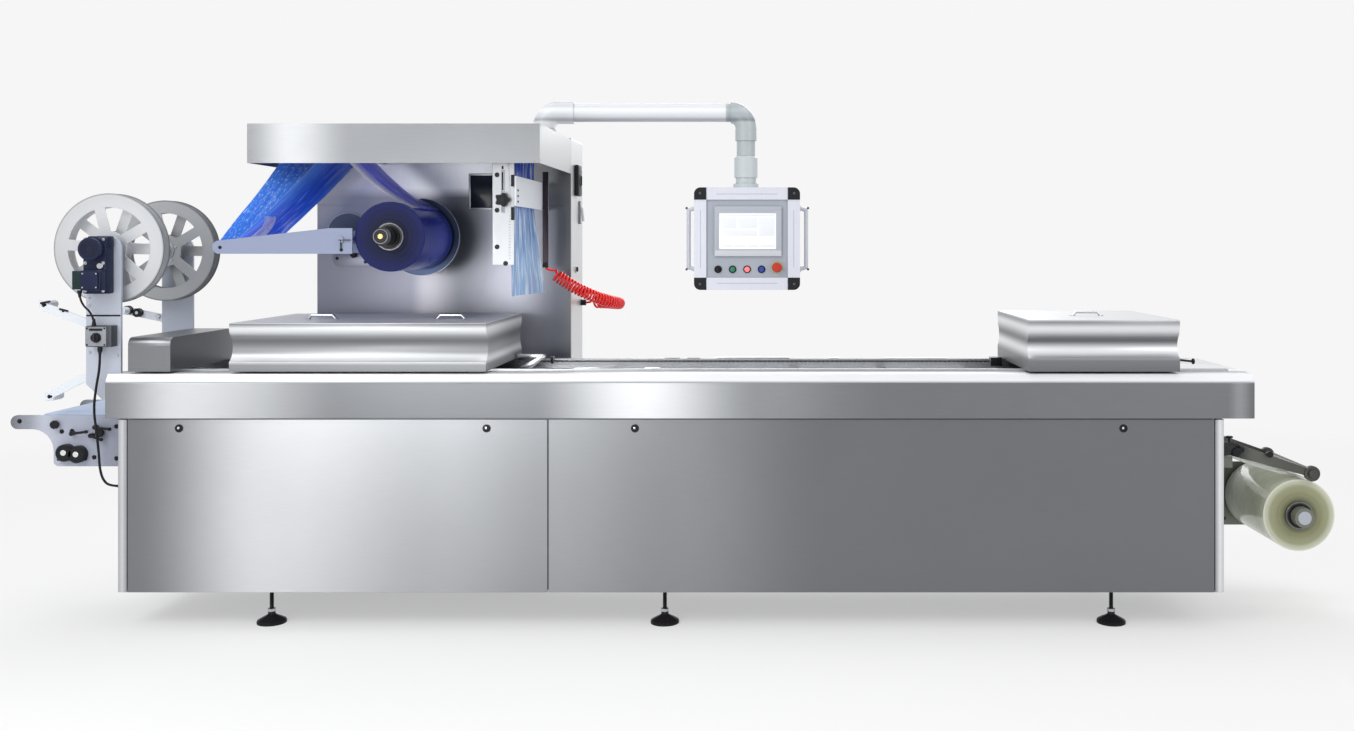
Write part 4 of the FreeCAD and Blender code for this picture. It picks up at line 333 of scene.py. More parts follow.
# The drop at the outer radius paints the shade on the rim side of each reel plate
reel_steel = surface(
    "reel_plate", grey(206), 0.36, metal=0.5, scale=150, spread=0.04, bump=0.08, centre=FRONT_REEL,
    ramps=[("R", [(0, 176), (60, 190), (150, 200), (204, 196), (211, 160), (213, 70)])]
)
reel_grey = surface(
    "reel_back_plate", grey(158), 0.36, metal=0.5, scale=150, spread=0.05, bump=0.08, centre=BACK_REEL,
    ramps=[("R", [(0, 150), (204, 164), (211, 128), (213, 60)])]
)
white_sheet = surface(
    "white_sheet", rgb(214, 219, 226), 0.42, scale=340, spread=0.025, bump=0.08,
    shader={"Coat Weight": 0.2, "Coat Roughness": 0.3}
)
arm_sheet = surface(
    "dancer_arm_sheet", rgb(136, 145, 172), 0.42, stretch=(1, 20, 20), scale=60, spread=0.05, bump=0.08
)
post_sheet = surface("post_sheet", rgb(178, 184, 197), 0.44, scale=340, spread=0.03, bump=0.08)
# Painted shade and highlight along the outfeed plate: darker at its left end, lightest near x -2440
plate_grey = surface(
    "outfeed_sheet", rgb(150, 154, 170), 0.42, scale=340, spread=0.05, bump=0.08,
    ramps=[
        (
            "X",
            [
                (-2575, (104, 106, 112)), (-2520, (132, 136, 146)), (-2440, (176, 180, 194)),
                (-2330, (160, 165, 182)), (-2117, (136, 140, 156))
            ]
        )
    ]
)
# TUBE_ROUND paints the highlight and shade round the pendant tube; TUBE_RUN makes the tube darker from x
# 192 on
TUBE_RUN = [(-608, 226), (186, 226), (192, (170, 178, 181)), (314, (168, 176, 179))]
TUBE_ROUND = [(1827, 255), (1964, 255), (1976, 190), (1992, 236), (2016, 255), (2036, 216), (2054, 168)]
pendant_white = surface(
    "pendant_tube", rgb(218, 222, 225), 0.34, scale=420, spread=0.02, bump=0.1,
    ramps=[("X", TUBE_RUN), ("Z", TUBE_ROUND)]
)
handle_grey = surface("handle_grey", rgb(204, 208, 212), 0.34, scale=420, spread=0.03, bump=0.1)
pendant_grey = surface("pendant_grey", rgb(184, 192, 195), 0.36, scale=420, spread=0.025, bump=0.15)
aluminium = surface(
    "anodised_profile", rgb(208, 210, 221), 0.36, metal=0.3, stretch=(9, 9, 0.8), scale=26, spread=0.02,
    bump=0.03
)
panel_grey = surface("panel_grey", rgb(158, 164, 174), 0.5, scale=500, spread=0.03, bump=0.1)
bezel_grey = surface("bezel_grey", rgb(166, 171, 181), 0.42, scale=500, spread=0.03, bump=0.1)
bezel_light = surface("bezel_light", rgb(190, 193, 199), 0.42, scale=500, spread=0.02, bump=0.1)
screen_white = surface(
    "screen_white", rgb(240, 242, 245), 0.2, scale=900, spread=0.01, rough_spread=0.03, bump=0.0,
    shader={"Coat Weight": 0.5, "Emission Color": (1, 1, 1, 1), "Emission Strength": 0.15}
)
screen_grey = surface(
    "screen_grey", rgb(228, 231, 235), 0.24, scale=900, spread=0.01, rough_spread=0.03, bump=0.0,
    shader={"Coat Weight": 0.5}
)
grip_white = surface("grip_white", rgb(198, 201, 208), 0.3, scale=420, spread=0.02, bump=0.08)
DULL = {"Specular IOR Level": 0.2}
black_plastic = surface(
    "black_plastic", rgb(26, 27, 31), 0.42, scale=700, spread=0.12, bump=0.18, shader=DULL
)
black_gloss = surface("black_glass", rgb(40, 43, 54), 0.16, scale=30, spread=0.08, bump=0.0, shader=DULL)
black_iron = surface(
    "black_iron", rgb(40, 38, 40), 0.3, metal=0.4, scale=240, spread=0.15, bump=0.1, shader=DULL
)
# Painted shade: the arm is near black where it runs under the table's end, lighter beyond it
arm_iron = surface(
    "unwind_arm_iron", rgb(84, 84, 88), 0.4, metal=0.4, scale=240, spread=0.12, bump=0.1,
    ramps=[
        ("X", [(2103, 30), (2180, 40), (2260, (94, 94, 88)), (2420, (80, 80, 76)), (2511, (66, 65, 62))])
    ]
)
bracket_dark = surface("unwind_plate", rgb(112, 116, 106), 0.4, metal=0.5, scale=200, spread=0.06, bump=0.1)
motor_navy = surface("motor_navy", rgb(24, 32, 60), 0.4, scale=420, spread=0.14, bump=0.25, shader=DULL)
lid_green = surface("terminal_side", rgb(26, 44, 46), 0.42, scale=420, spread=0.12, bump=0.2, shader=DULL)
stop_disc = surface(
    "stop_disc", rgb(66, 78, 104), 0.4, stretch=(30, 30, 0.6), scale=22, spread=0.08, bump=0.1
)
box_grey = surface("box_grey", rgb(140, 143, 150), 0.45, scale=420, spread=0.06, bump=0.15)
box_dark = surface("box_dark", rgb(62, 65, 72), 0.45, scale=420, spread=0.08, bump=0.15)
belt_pale = surface(
    "belt_pale", rgb(176, 190, 214), 0.6, stretch=(6, 1, 6), scale=300, spread=0.05, bump=0.3
)
rubber_black = surface("cable_black", rgb(20, 21, 25), 0.5, scale=600, spread=0.12, bump=0.2, shader=DULL)
hose_red = surface(
    "hose_red", rgb(244, 28, 26), 0.26, scale=260, spread=0.07, bump=0.04,
    shader={"Coat Weight": 0.35, "Subsurface Weight": 0.1, "Subsurface Scale": 0.004}
)
core_brown = surface("core_brown", rgb(60, 58, 60), 0.6, scale=300, spread=0.14, bump=0.2)
brass = surface("brass", rgb(196, 172, 112), 0.28, metal=1, scale=200, spread=0.08, bump=0.05)
cap_green = surface("cap_green", rgb(26, 116, 84), 0.3, scale=400, spread=0.06, bump=0.05)
cap_red = surface("cap_red", rgb(178, 38, 28), 0.3, scale=400, spread=0.06, bump=0.05)
cap_lit = surface(
    "cap_lit", rgb(240, 90, 90), 0.3, scale=400, spread=0.06, bump=0.05,
    shader={"Emission Color": rgb(255, 120, 120), "Emission Strength": 0.9}
)
cap_blue = surface("cap_blue", rgb(30, 62, 156), 0.3, scale=400, spread=0.06, bump=0.05)
ring_yellow = surface("ring_yellow", rgb(168, 164, 66), 0.4, scale=400, spread=0.05, bump=0.08)

TOP_ROLL = (-1115, 1496)
LOWER_ROLL = (2438, 407)
WINDINGS = (700, 1, 1)
ROLL_FACE = [
    (0, (10, 13, 34)), (60, (11, 16, 46)), (72, (13, 20, 56)), (126, (15, 24, 78)), (137, (18, 30, 94))
]
# ROLL_SIDE makes the roll's side lighter across the middle of its width and darker towards both ends:
# painted sheen and shade
ROLL_SIDE = [(-386, (22, 34, 112)), (-300, (28, 44, 138)), (-120, (40, 60, 178)), (34, (28, 44, 136))]
roll_face = surface(
    "roll_face", rgb(28, 38, 72), 0.5, stretch=WINDINGS, scale=1, spread=0.12, bump=0.12, centre=TOP_ROLL,
    ramps=[("R", ROLL_FACE)], shader=DULL
)
roll_blue = surface(
    "roll_blue", rgb(34, 50, 122), 0.2, stretch=(1, 9, 1), scale=40, spread=0.16, bump=0.16,
    ramps=[("Y", ROLL_SIDE)],
    shader={"Specular IOR Level": 0.2, "Coat Weight": 0.05, "Coat Roughness": 0.12}
)
CLEAR_FACE = [
    (40, (84, 86, 62)), (60, (112, 114, 84)), (78, (142, 142, 108)), (110, (158, 160, 128)),
    (128, (196, 198, 176)), (141, (226, 228, 214))
]
CLEAR_SIDE = [
    (-396, (232, 235, 216)), (-330, (214, 218, 198)), (-200, (232, 236, 220)), (-40, (244, 247, 240)),
    (44, (214, 218, 210))
]
clear_face = surface(
    "clear_roll_face", rgb(150, 150, 118), 0.24, stretch=WINDINGS, scale=1, spread=0.08, bump=0.4,
    centre=LOWER_ROLL, ramps=[("R", CLEAR_FACE)], through=0.15
)
clear_side = surface(
    "clear_roll_side", rgb(190, 194, 176), 0.14, stretch=(1, 5, 1), scale=22, spread=0.14, bump=0.2,
    ramps=[("Y", CLEAR_SIDE)], through=0.3, shader={"Coat Weight": 0.15}
)
# The one blue top film comes in lit and shaded copies, one per leg: the leg down to the dancer roller and
# the leg inside the hood are shaded copies, the leg up from the roller a lit copy. The white stripe along
# the feed leg's front edge and its pale back edge are painted highlights
film_feed = surface(
    "film_feed", rgb(126, 128, 226), 0.2, stretch=(1, 9, 1), scale=14, spread=0.12, bump=0.2,
    bump_depth=0.001, flecks=(rgb(190, 190, 255), 0.56, 0.72), through=0.5,
    ramps=[
        (
            "Y",
            [
                (-386, (255, 255, 255)), (-330, (255, 255, 255)), (-296, (196, 198, 255)),
                (-220, (140, 142, 255)), (34, (176, 178, 255))
            ]
        )
    ]
)
# Its lighter tones at both edges paint highlights along the film's edges
film_shaded_leg = surface(
    "film_shaded_leg", rgb(60, 116, 240), 0.22, stretch=(1, 9, 1), scale=12, spread=0.14, bump=0.2,
    bump_depth=0.001, flecks=(rgb(130, 180, 255), 0.55, 0.75), through=0.5,
    ramps=[
        (
            "Y",
            [
                (-386, (170, 208, 255)), (-374, (90, 150, 250)), (-120, (58, 120, 244)),
                (20, (66, 130, 250)), (34, (150, 196, 255))
            ]
        )
    ]
)
film_lit_leg = surface(
    "film_lit_leg", rgb(76, 140, 238), 0.24, stretch=(1, 1, 1), scale=75, spread=0.14, bump=0.3,
    bump_depth=0.001, flecks=(rgb(170, 206, 250), 0.56, 0.68), through=0.5
)
# The tail darkens towards the top, where the guide plate and hood shade it: painted shade
film_tail = surface(
    "film_tail", rgb(116, 160, 220), 0.2, stretch=(1, 1, 0.12), scale=46, spread=0.14, bump=0.3,
    bump_depth=0.0015, flecks=(rgb(214, 232, 248), 0.5, 0.66), through=0.4,
    ramps=[
        (
            "Z",
            [
                (1262, (150, 190, 232)), (1560, (128, 166, 220)), (1625, (104, 150, 224)),
                (1700, (60, 96, 206)), (1834, (48, 82, 196))
            ]
        )
    ]
)
# Shaded copy of the film for the leg inside the hood
film_shaded_hidden = surface("film_shaded_inside", rgb(44, 84, 196), 0.24, scale=30, spread=0.1, bump=0.1, through=0.4)
film_white = surface(
    "film_crumple", rgb(240, 238, 255), 0.22, scale=60, spread=0.08, bump=0.3, bump_depth=0.001,
    flecks=(rgb(196, 194, 244), 0.54, 0.7), through=0.4
)
film_clear = surface(
    "film_clear", rgb(214, 216, 208), 0.14, stretch=(1, 6, 1), scale=24, spread=0.1, bump=0.3,
    bump_depth=0.001, flecks=(rgb(246, 248, 246), 0.52, 0.7), through=0.45, shader={"Coat Weight": 0.4}
)

BY_NODE = {
    "machine_housing": steel_corner, "front_panel_left": steel_left, "front_panel_right": steel_right,
    "back_panels": steel_right, "end_panels": steel_plain, "panel_locks": steel_fine,
    "levelling_feet": black_iron, "deck_bed": steel_skirt, "deck_ledge_front": steel_ledge,
    "deck_ledge_back": steel_edge, "deck_ends": steel_edge, "chain_guides": steel_fine,
    "deck_plates": steel_fine, "sealing_cover": steel_seal, "forming_cover": steel_form,
    "cutter_cover": steel_cutter, "cover_handles": chrome, "rear_cabinet": steel_cabinet,
    "cabinet_fittings": black_gloss, "hood_canopy": steel_hood, "hood_idlers": chrome,
    "top_roll_shaft": shaft_steel, "top_film_roll": roll_blue, "dancer_arms": arm_sheet,
    "dancer_roller": chrome, "top_web": film_shaded_leg, "top_web_tail": film_tail,
    "guide_brackets": bracket_steel, "guide_plate": white_sheet, "guide_knobs": black_plastic,
    "pendant_base": pendant_grey, "pendant_arm": pendant_white, "control_neck": pendant_grey,
    "control_frame": aluminium, "control_corners": black_plastic, "control_plate": panel_grey,
    "control_screen": panel_grey, "control_buttons": black_plastic, "control_handles": aluminium,
    "trim_reel_front": reel_steel, "trim_reel_back": reel_grey, "reel_posts": post_sheet,
    "reel_motor": motor_navy, "reel_switch_box": box_grey, "trim_guides": white_sheet,
    "outfeed_plates": plate_grey, "outfeed_belt": belt_pale, "outfeed_fittings": black_iron,
    "unwind_bracket": bracket_dark, "bottom_film_roll": clear_side, "unwind_dancer": arm_iron,
    "bottom_web": film_clear, "web_idler": bracket_dark, "cable_glands": black_plastic,
    "motor_cable": rubber_black, "supply_cable": rubber_black, "air_hose": hose_red
}
for label, material in BY_NODE.items():
    holder = nodes[label]
    holder.data.materials.clear()
    holder.data.materials.append(material)


def link_piece(obj, body, replaced=()):
    """Let a finished piece ride on its body and hide the nodes it stands for."""
    scene.collection.objects.link(obj)
    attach(obj, body)
    if replaced:
        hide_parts(*replaced)
    return obj


def soft_edges(label, width, angle=35):
    """Round the sharp edges of a CAD node as it shows."""
    holder = nodes[label]
    weld = holder.modifiers.new("weld", "WELD")
    weld.merge_threshold = 0.00002
    bevel = holder.modifiers.new("bevel", "BEVEL")
    bevel.width = width
    bevel.segments = 2
    bevel.limit_method = "ANGLE"
    bevel.angle_limit = math.radians(angle)
    bevel.harden_normals = True


for label, width in (
    ("machine_housing", 0.003), ("front_panel_left", 0.0022), ("front_panel_right", 0.0022),
    ("back_panels", 0.0022), ("end_panels", 0.0022), ("deck_bed", 0.003), ("deck_ledge_front", 0.002),
    ("deck_ledge_back", 0.002), ("deck_ends", 0.002), ("sealing_cover", 0.003), ("forming_cover", 0.003),
    ("cutter_cover", 0.0025), ("rear_cabinet", 0.004), ("hood_canopy", 0.0015), ("reel_posts", 0.0015),
    ("outfeed_plates", 0.0015), ("guide_plate", 0.0012), ("guide_brackets", 0.001),
    ("dancer_arms", 0.0012), ("control_plate", 0.001), ("trim_reel_front", 0.0008),
    ("trim_reel_back", 0.0008), ("deck_plates", 0.0008), ("unwind_bracket", 0.0015),
    ("trim_guides", 0.001)
):
    soft_edges(label, width)


class Shell:
    """One mesh put together from small closed solids, each with its own material."""

    def __init__(self, name):
        self.name = name
        self.bm = bmesh.new()
        self.materials = []

    def _slot(self, material):
        if material not in self.materials:
            self.materials.append(material)
        return self.materials.index(material)

    def solid(self, places, faces, material, bevel=0.0):
        """Add a closed solid from places in millimetres; the bevel rounds every edge of it."""
        made = [self.bm.verts.new(mm(*place)) for place in places]
        index = self._slot(material)
        new_faces = []
        for corners in faces:
            face = self.bm.faces.new([made[corner] for corner in corners])
            face.material_index = index
            new_faces.append(face)
        bmesh.ops.recalc_face_normals(self.bm, faces=new_faces)
        if bevel:
            edges = list(dict.fromkeys(edge for face in new_faces for edge in face.edges))
            bmesh.ops.bevel(
                self.bm, geom=edges, offset=bevel / 1000, segments=2, profile=0.6, affect="EDGES",
                clamp_overlap=True
            )

    def box(self, across, deep, up, material, bevel=0.8):
        places = [(x, y, z) for z in up for y in deep for x in across]
        faces = [(0, 2, 3, 1), (4, 5, 7, 6), (0, 1, 5, 4), (2, 6, 7, 3), (0, 4, 6, 2), (1, 3, 7, 5)]
        self.solid(places, faces, material, bevel)

    def prism(self, axis, outline, low, high, material, bevel=0.8):
        """Extrude an outline along an axis; its pairs are the other two axes in order."""
        count = len(outline)
        spot = {
            "X": lambda p, t: (t, p[0], p[1]), "Y": lambda p, t: (p[0], t, p[1]), "Z": lambda p,
            t: (p[0], p[1], t)
        }[axis]
        places = [spot(pair, level) for level in (low, high) for pair in outline]
        faces = [tuple(range(count)), tuple(range(2 * count - 1, count - 1, -1))]
        faces += [(i, (i + 1) % count, count + (i + 1) % count, count + i) for i in range(count)]
        self.solid(places, faces, material, bevel)

    def lathe(self, profile, start, way, material, steps=28, bore=False):
        """Turn a profile of (radius, distance along the way) about a line from start.

        bore closes the profile on itself as a tube, and None leaves both ends open.
        """
        along = Vector(way).normalized()
        side = along.orthogonal().normalized()
        other = along.cross(side)
        index = self._slot(material)
        rings = []
        for radius, distance in profile:
            centre = mm(*start) + along * distance / 1000
            if radius <= 0:
                rings.append([self.bm.verts.new(centre)])
                continue
            ring = []
            for step in range(steps):
                angle = 2 * math.pi * step / steps
                out = side * math.cos(angle) + other * math.sin(angle)
                ring.append(self.bm.verts.new(centre + out * radius / 1000))
            rings.append(ring)
        new_faces = []
        pairs = list(zip(rings, rings[1:]))
        if bore:
            pairs.append((rings[-1], rings[0]))
        for first, second in pairs:
            for step in range(steps):
                after = (step + 1) % steps
                if len(first) == 1:
                    corners = [first[0], second[after], second[step]]
                elif len(second) == 1:
                    corners = [first[step], first[after], second[0]]
                else:
                    corners = [first[step], first[after], second[after], second[step]]
                new_faces.append(self.bm.faces.new(corners))
        for ring in (rings[0], rings[-1]):
            if bore is False and len(ring) > 1:
                new_faces.append(self.bm.faces.new(ring))
        for face in new_faces:
            face.material_index = index
        bmesh.ops.recalc_face_normals(self.bm, faces=new_faces)

    def disc(self, radius, thick, start, way, material, edge=1.0, steps=28):
        """A round plate or pin with rounded rims that starts at a point."""
        profile = [
            (0, 0), (radius - edge, 0), (radius, edge), (radius, thick - edge), (radius - edge, thick),
            (0, thick)
        ]
        self.lathe(profile, start, way, material, steps)

    def bolt(self, radius, start, way, material):
        """Hexagon bolt head on a washer."""
        self.lathe([(0, 0), (radius * 1.45, 0), (radius * 1.45, 1.2), (0, 1.2)], start, way, material, 20)
        lift = mm(*start) * 1000 + Vector(way).normalized() * 1.2
        profile = [
            (0, 0), (radius, 0), (radius, radius * 0.6), (radius * 0.85, radius * 0.72),
            (0, radius * 0.72)
        ]
        self.lathe(profile, lift, way, material, 6)

    def bolts(self, radius, places, material):
        """Bolt heads that face the front."""
        for place in places:
            self.bolt(radius, place, FRONT, material)

    def knob(self, stem, head, crown, place, material, steps=9):
        """Clamp knob: stem (radius, length), head (radius, low, high), crown (radius, top)."""
        profile = [(0, 0), (stem[0], 0), stem, head[:2], (head[0], head[2]), crown, (0, crown[1])]
        self.lathe(profile, place, FRONT, material, steps)

    def sweep(self, places, radius, material, steps=12):
        """A round bar along places in millimetres, closed at both ends."""
        points = [mm(*place) for place in places]
        index = self._slot(material)
        way = (points[1] - points[0]).normalized()
        side = way.orthogonal().normalized()
        rings = []
        for number, point in enumerate(points):
            before = points[max(0, number - 1)]
            after = points[min(len(points) - 1, number + 1)]
            way = (after - before).normalized()
            side = (side - way * side.dot(way)).normalized()
            other = way.cross(side)
            ring = []
            for step in range(steps):
                angle = 2 * math.pi * step / steps
                out = side * math.cos(angle) + other * math.sin(angle)
                ring.append(self.bm.verts.new(point + out * radius / 1000))
            rings.append(ring)
        new_faces = [self.bm.faces.new(rings[0]), self.bm.faces.new(rings[-1])]
        for first, second in zip(rings, rings[1:]):
            for step in range(steps):
                after = (step + 1) % steps
                new_faces.append(
                    self.bm.faces.new((first[step], first[after], second[after], second[step]))
                )
        for face in new_faces:
            face.material_index = index
        bmesh.ops.recalc_face_normals(self.bm, faces=new_faces)

    def done(self, body, replaced=(), smooth=32):
        mesh = bpy.data.meshes.new(self.name)
        self.bm.to_mesh(mesh)
        self.bm.free()
        for material in self.materials:
            mesh.materials.append(material)
        mesh.polygons.foreach_set("use_smooth", [True] * len(mesh.polygons))
        mesh.set_sharp_from_angle(angle=math.radians(smooth))
        return link_piece(bpy.data.objects.new(self.name, mesh), body, replaced)


def rounded(places, radius, steps=6):
    """Places along straight runs whose corners are turned with arcs of a radius."""
    corners = [Vector(place) for place in places]
    line = [corners[0]]
    for before, corner, after in zip(corners, corners[1:], corners[2:]):
        arrive = (corner - before).normalized()
        leave = (after - corner).normalized()
        turn = arrive.angle(leave)
        inset = radius * math.tan(turn / 2)
        centre_way = (leave - arrive).normalized()
        centre = corner + centre_way * radius / math.cos(turn / 2)
        start = corner - arrive * inset - centre
        end = corner + leave * inset - centre
        for step in range(steps + 1):
            line.append(centre + start.slerp(end, step / steps))
    line.append(corners[-1])
    return line


def ring_profile(inner, outer, low, high, edge=1.0):
    """Section of a tube as (radius, distance) pairs with rounded rims."""
    return [
        (inner, low), (outer - edge, low), (outer, low + edge), (outer, high - edge),
        (outer - edge, high), (inner, high)
    ]


def film_line(stops, step):
    """Places along film that runs over rollers, each as x, z, normal x and z, leg and share of it.

    stops are (x, z, reach): film passes a roller at its reach, which is negative where the
    roller lies on the left of the way that the film runs.
    """
    legs = []
    for first, second in zip(stops, stops[1:]):
        run = Vector((second[0] - first[0], second[1] - first[1]))
        way = math.atan2(run.y, run.x) - math.asin((first[2] - second[2]) / run.length)
        out = Vector((-math.sin(way), math.cos(way)))
        legs.append((way, out, Vector(first[:2]) + out * first[2], Vector(second[:2]) + out * second[2]))
    line = []
    for number, (way, out, start, end) in enumerate(legs):
        count = max(2, round((end - start).length / step))
        for index in range(count + 1):
            place = start.lerp(end, index / count)
            line.append((place.x, place.y, out.x, out.y, number, index / count))
        if number + 1 < len(legs):
            centre_x, centre_z, reach = stops[number + 1]
            turn = (legs[number + 1][0] - way) % (2 * math.pi)
            if reach > 0:
                turn -= 2 * math.pi
            count = max(2, round(abs(turn * reach) / 4))
            for index in range(1, count):
                angle = way + turn * index / count
                side = (-math.sin(angle), math.cos(angle))
                line.append((centre_x + side[0] * reach, centre_z + side[1] * reach, *side, number, 1.0))
    return line


def strip(bm, first, second):
    """Smooth faces between two rows of points."""
    faces = []
    for corners in zip(first, first[1:], second[1:], second):
        face = bm.faces.new(corners)
        face.smooth = True
        faces.append(face)
    return faces


def film_sheet(name, line, edges, ripple, sag, materials, replaced, columns=46, bent=None):
    """A wide film along a line, with ripples and a sag on each leg that fade out at the rollers."""
    front, back = edges
    bm = bmesh.new()
    rows = []
    run = 0.0
    last = None
    for x, z, out_x, out_z, leg, share in line:
        if last is not None:
            run += math.hypot(x - last[0], z - last[1])
        last = (x, z)
        height = ripple[leg] * math.sin(math.pi * share) ** 0.7 if 0 < share < 1 else 0
        row = []
        for column in range(columns + 1):
            across = column / columns
            y = front + (back - front) * across
            fold = noise.noise(Vector((run / 420, y / 26, leg * 7.3)))
            fold += 0.5 * noise.noise(Vector((run / 90, y / 60, leg * 3.1 + 9)))
            lift = fold * height
            shift_x = bent(z, across) if bent and leg == len(ripple) - 1 else 0
            down = sag[leg] * math.sin(math.pi * share)
            row.append(bm.verts.new(mm(x + out_x * lift + shift_x, y, z + out_z * lift - down)))
        rows.append(row)
    for first, second, after in zip(rows, rows[1:], line[1:]):
        for face in strip(bm, first, second):
            face.material_index = after[4]
    area = sum(face.calc_area() for face in bm.faces)
    mesh = bpy.data.meshes.new(name)
    bm.to_mesh(mesh)
    bm.free()
    for material in materials:
        mesh.materials.append(material)
    piece = link_piece(bpy.data.objects.new(name, mesh), "machine", replaced)


FILM_EDGES = [corner[1] * 1000 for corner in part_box("top_web")]
PLATE_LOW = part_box("guide_plate")[0][2] * 1000
TAIL_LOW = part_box("top_web_tail")[0][2] * 1000
ROLL_REACH = 143
IDLER_REACH = 22.5
TOP_STOPS = [
    (*TOP_ROLL, -ROLL_REACH), (-1340, 1820, -IDLER_REACH), (-1776, 1455, 18.5),
    (-1482, 1834, IDLER_REACH), (-655, 1834, IDLER_REACH)
]
TOP_SAG = [26, 9, 4, 0, 0]


def tail_bend(z, across):
    """How far the free tail swings along the machine below the guide plate."""
    drop = max(0.0, (PLATE_LOW - z) / (PLATE_LOW - TAIL_LOW))
    swing = (-10 + 62 * across ** 1.3) * drop ** 1.2
    pleat = noise.noise(Vector((z / 260, across * 9, 4.4))) * 9 * drop ** 0.6
    above = noise.noise(Vector((z / 90, across * 6, 1.7))) * 2.2
    return swing + pleat + above


def top_film():
    line = film_line(TOP_STOPS, 9)
    x = TOP_STOPS[-1][0] + IDLER_REACH
    top = TOP_STOPS[-1][1]
    leg = len(TOP_STOPS) - 1
    for index in range(1, 9):
        angle = math.pi / 2 * (1 - index / 9)
        side = (math.cos(angle), math.sin(angle))
        place = (TOP_STOPS[-1][0] + side[0] * IDLER_REACH, top + side[1] * IDLER_REACH)
        line.append((*place, *side, leg - 1, 1.0))
    count = 64
    for index in range(count + 1):
        share = index / count
        line.append((x, top + (TAIL_LOW - top) * share, 1.0, 0.0, leg, share))
    film_sheet(
        "top_film", line, FILM_EDGES, [5, 5, 4, 1, 0], TOP_SAG,
        [film_feed, film_shaded_leg, film_lit_leg, film_shaded_hidden, film_tail],
        ["top_web", "top_web_tail"], bent=tail_bend
    )


def gathered_film():
    """Loose folds that hang from the underside of the film where it comes down to the dancer roller."""
    bm = bmesh.new()
    step_count, column_count = 30, 12
    low, wide = -366, 110
    bulge, crease = 26, 10
    down_leg = 1
    near_roller = 0.62
    leg = [
        place for place in film_line(TOP_STOPS, 9) if place[4] == down_leg and near_roller < place[5] < 1
    ]
    ends = []
    for x, z, _, _, _, share in (leg[-1], leg[0]):
        ends.append(Vector((x, z - TOP_SAG[down_leg] * math.sin(math.pi * share))))
    out = Vector(leg[0][2:4])
    rows = []
    for index in range(step_count + 1):
        share = index / step_count
        place = ends[0].lerp(ends[1], share)
        row = []
        for column in range(column_count + 1):
            across = column / column_count
            y = low + wide * across + 16 * noise.noise(Vector((share * 4, 0.3, 2.0)))
            ease_out = math.sin(math.pi * share) ** 0.5 if 0 < share < 1 else 0
            lift = (crease * noise.noise(Vector((share * 3, across * 5, 6.5))) + bulge) * ease_out
            row.append(bm.verts.new(mm(place.x + out.x * lift, y, place.y + out.y * lift)))
        rows.append(row)
    for first, second in zip(rows, rows[1:]):
        strip(bm, first, second)
    area = sum(face.calc_area() for face in bm.faces)
    mesh = bpy.data.meshes.new("gathered_film")
    bm.to_mesh(mesh)
    bm.free()
    mesh.materials.append(film_white)
    piece = link_piece(bpy.data.objects.new("gathered_film", mesh), "machine")


top_film()
gathered_film()


def bottom_film():
    """Clear film from the lower roll over the web idler into the machine."""
    line = film_line([(*LOWER_ROLL, -146), (2150, 618, -IDLER_REACH), (2103, 618, -IDLER_REACH)], 9)
    film_sheet(
        "bottom_film", line, FILM_EDGES, [7, 0], [10, 0], [film_clear, film_clear],
        ["bottom_web"]
    )


bottom_film()


def wound_rolls():
    """Both film rolls: a core tube and layers of film whose edges lie a little uneven."""
    for name, body, slot, node, centre, radius, face, side in (
        ("blue_film_roll", "top_roll", "blue_film", "top_film_roll", TOP_ROLL, 137, roll_face, roll_blue),
        (
            "clear_film_roll", "bottom_roll", "clear_film", "bottom_film_roll", LOWER_ROLL, 140,
            clear_face, clear_side
        )
    ):
        low, high = (corner[1] * 1000 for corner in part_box(node))
        core = 49.5
        shell = Shell(name)
        start = (centre[0], low, centre[1])
        shell.lathe(ring_profile(core - 7, core, 0, high - low, 1.5), start, REAR, core_brown, 48, True)
        shell.lathe(ring_profile(core + 0.2, core + 5, 1, 9), start, REAR, steel_dark, 48, True)
        draw = random.Random(radius)
        rings = [(core + 0.2, 10)]
        reach = core + 4
        while reach < radius - 5:
            depth = 10 + draw.uniform(-0.5, 0.9)
            rings += [(reach, depth), (reach + 2.6, depth)]
            reach += 5.4
        rings += [(radius - 1.2, 10.4), (radius, 11.6)]
        far = [(reach, high - low - depth) for reach, depth in reversed(rings)]
        shell.lathe(rings, start, REAR, face, 64, None)
        shell.lathe([rings[-1], far[0]], start, REAR, side, 64, None)
        shell.lathe(far, start, REAR, face, 64, None)
        shell.lathe([far[-1], rings[0]], start, REAR, core_brown, 64, None)
        bmesh.ops.remove_doubles(shell.bm, verts=shell.bm.verts, dist=0.00001)
        bmesh.ops.recalc_face_normals(shell.bm, faces=shell.bm.faces)
        shell.done(body, [node], 40)


wound_rolls()


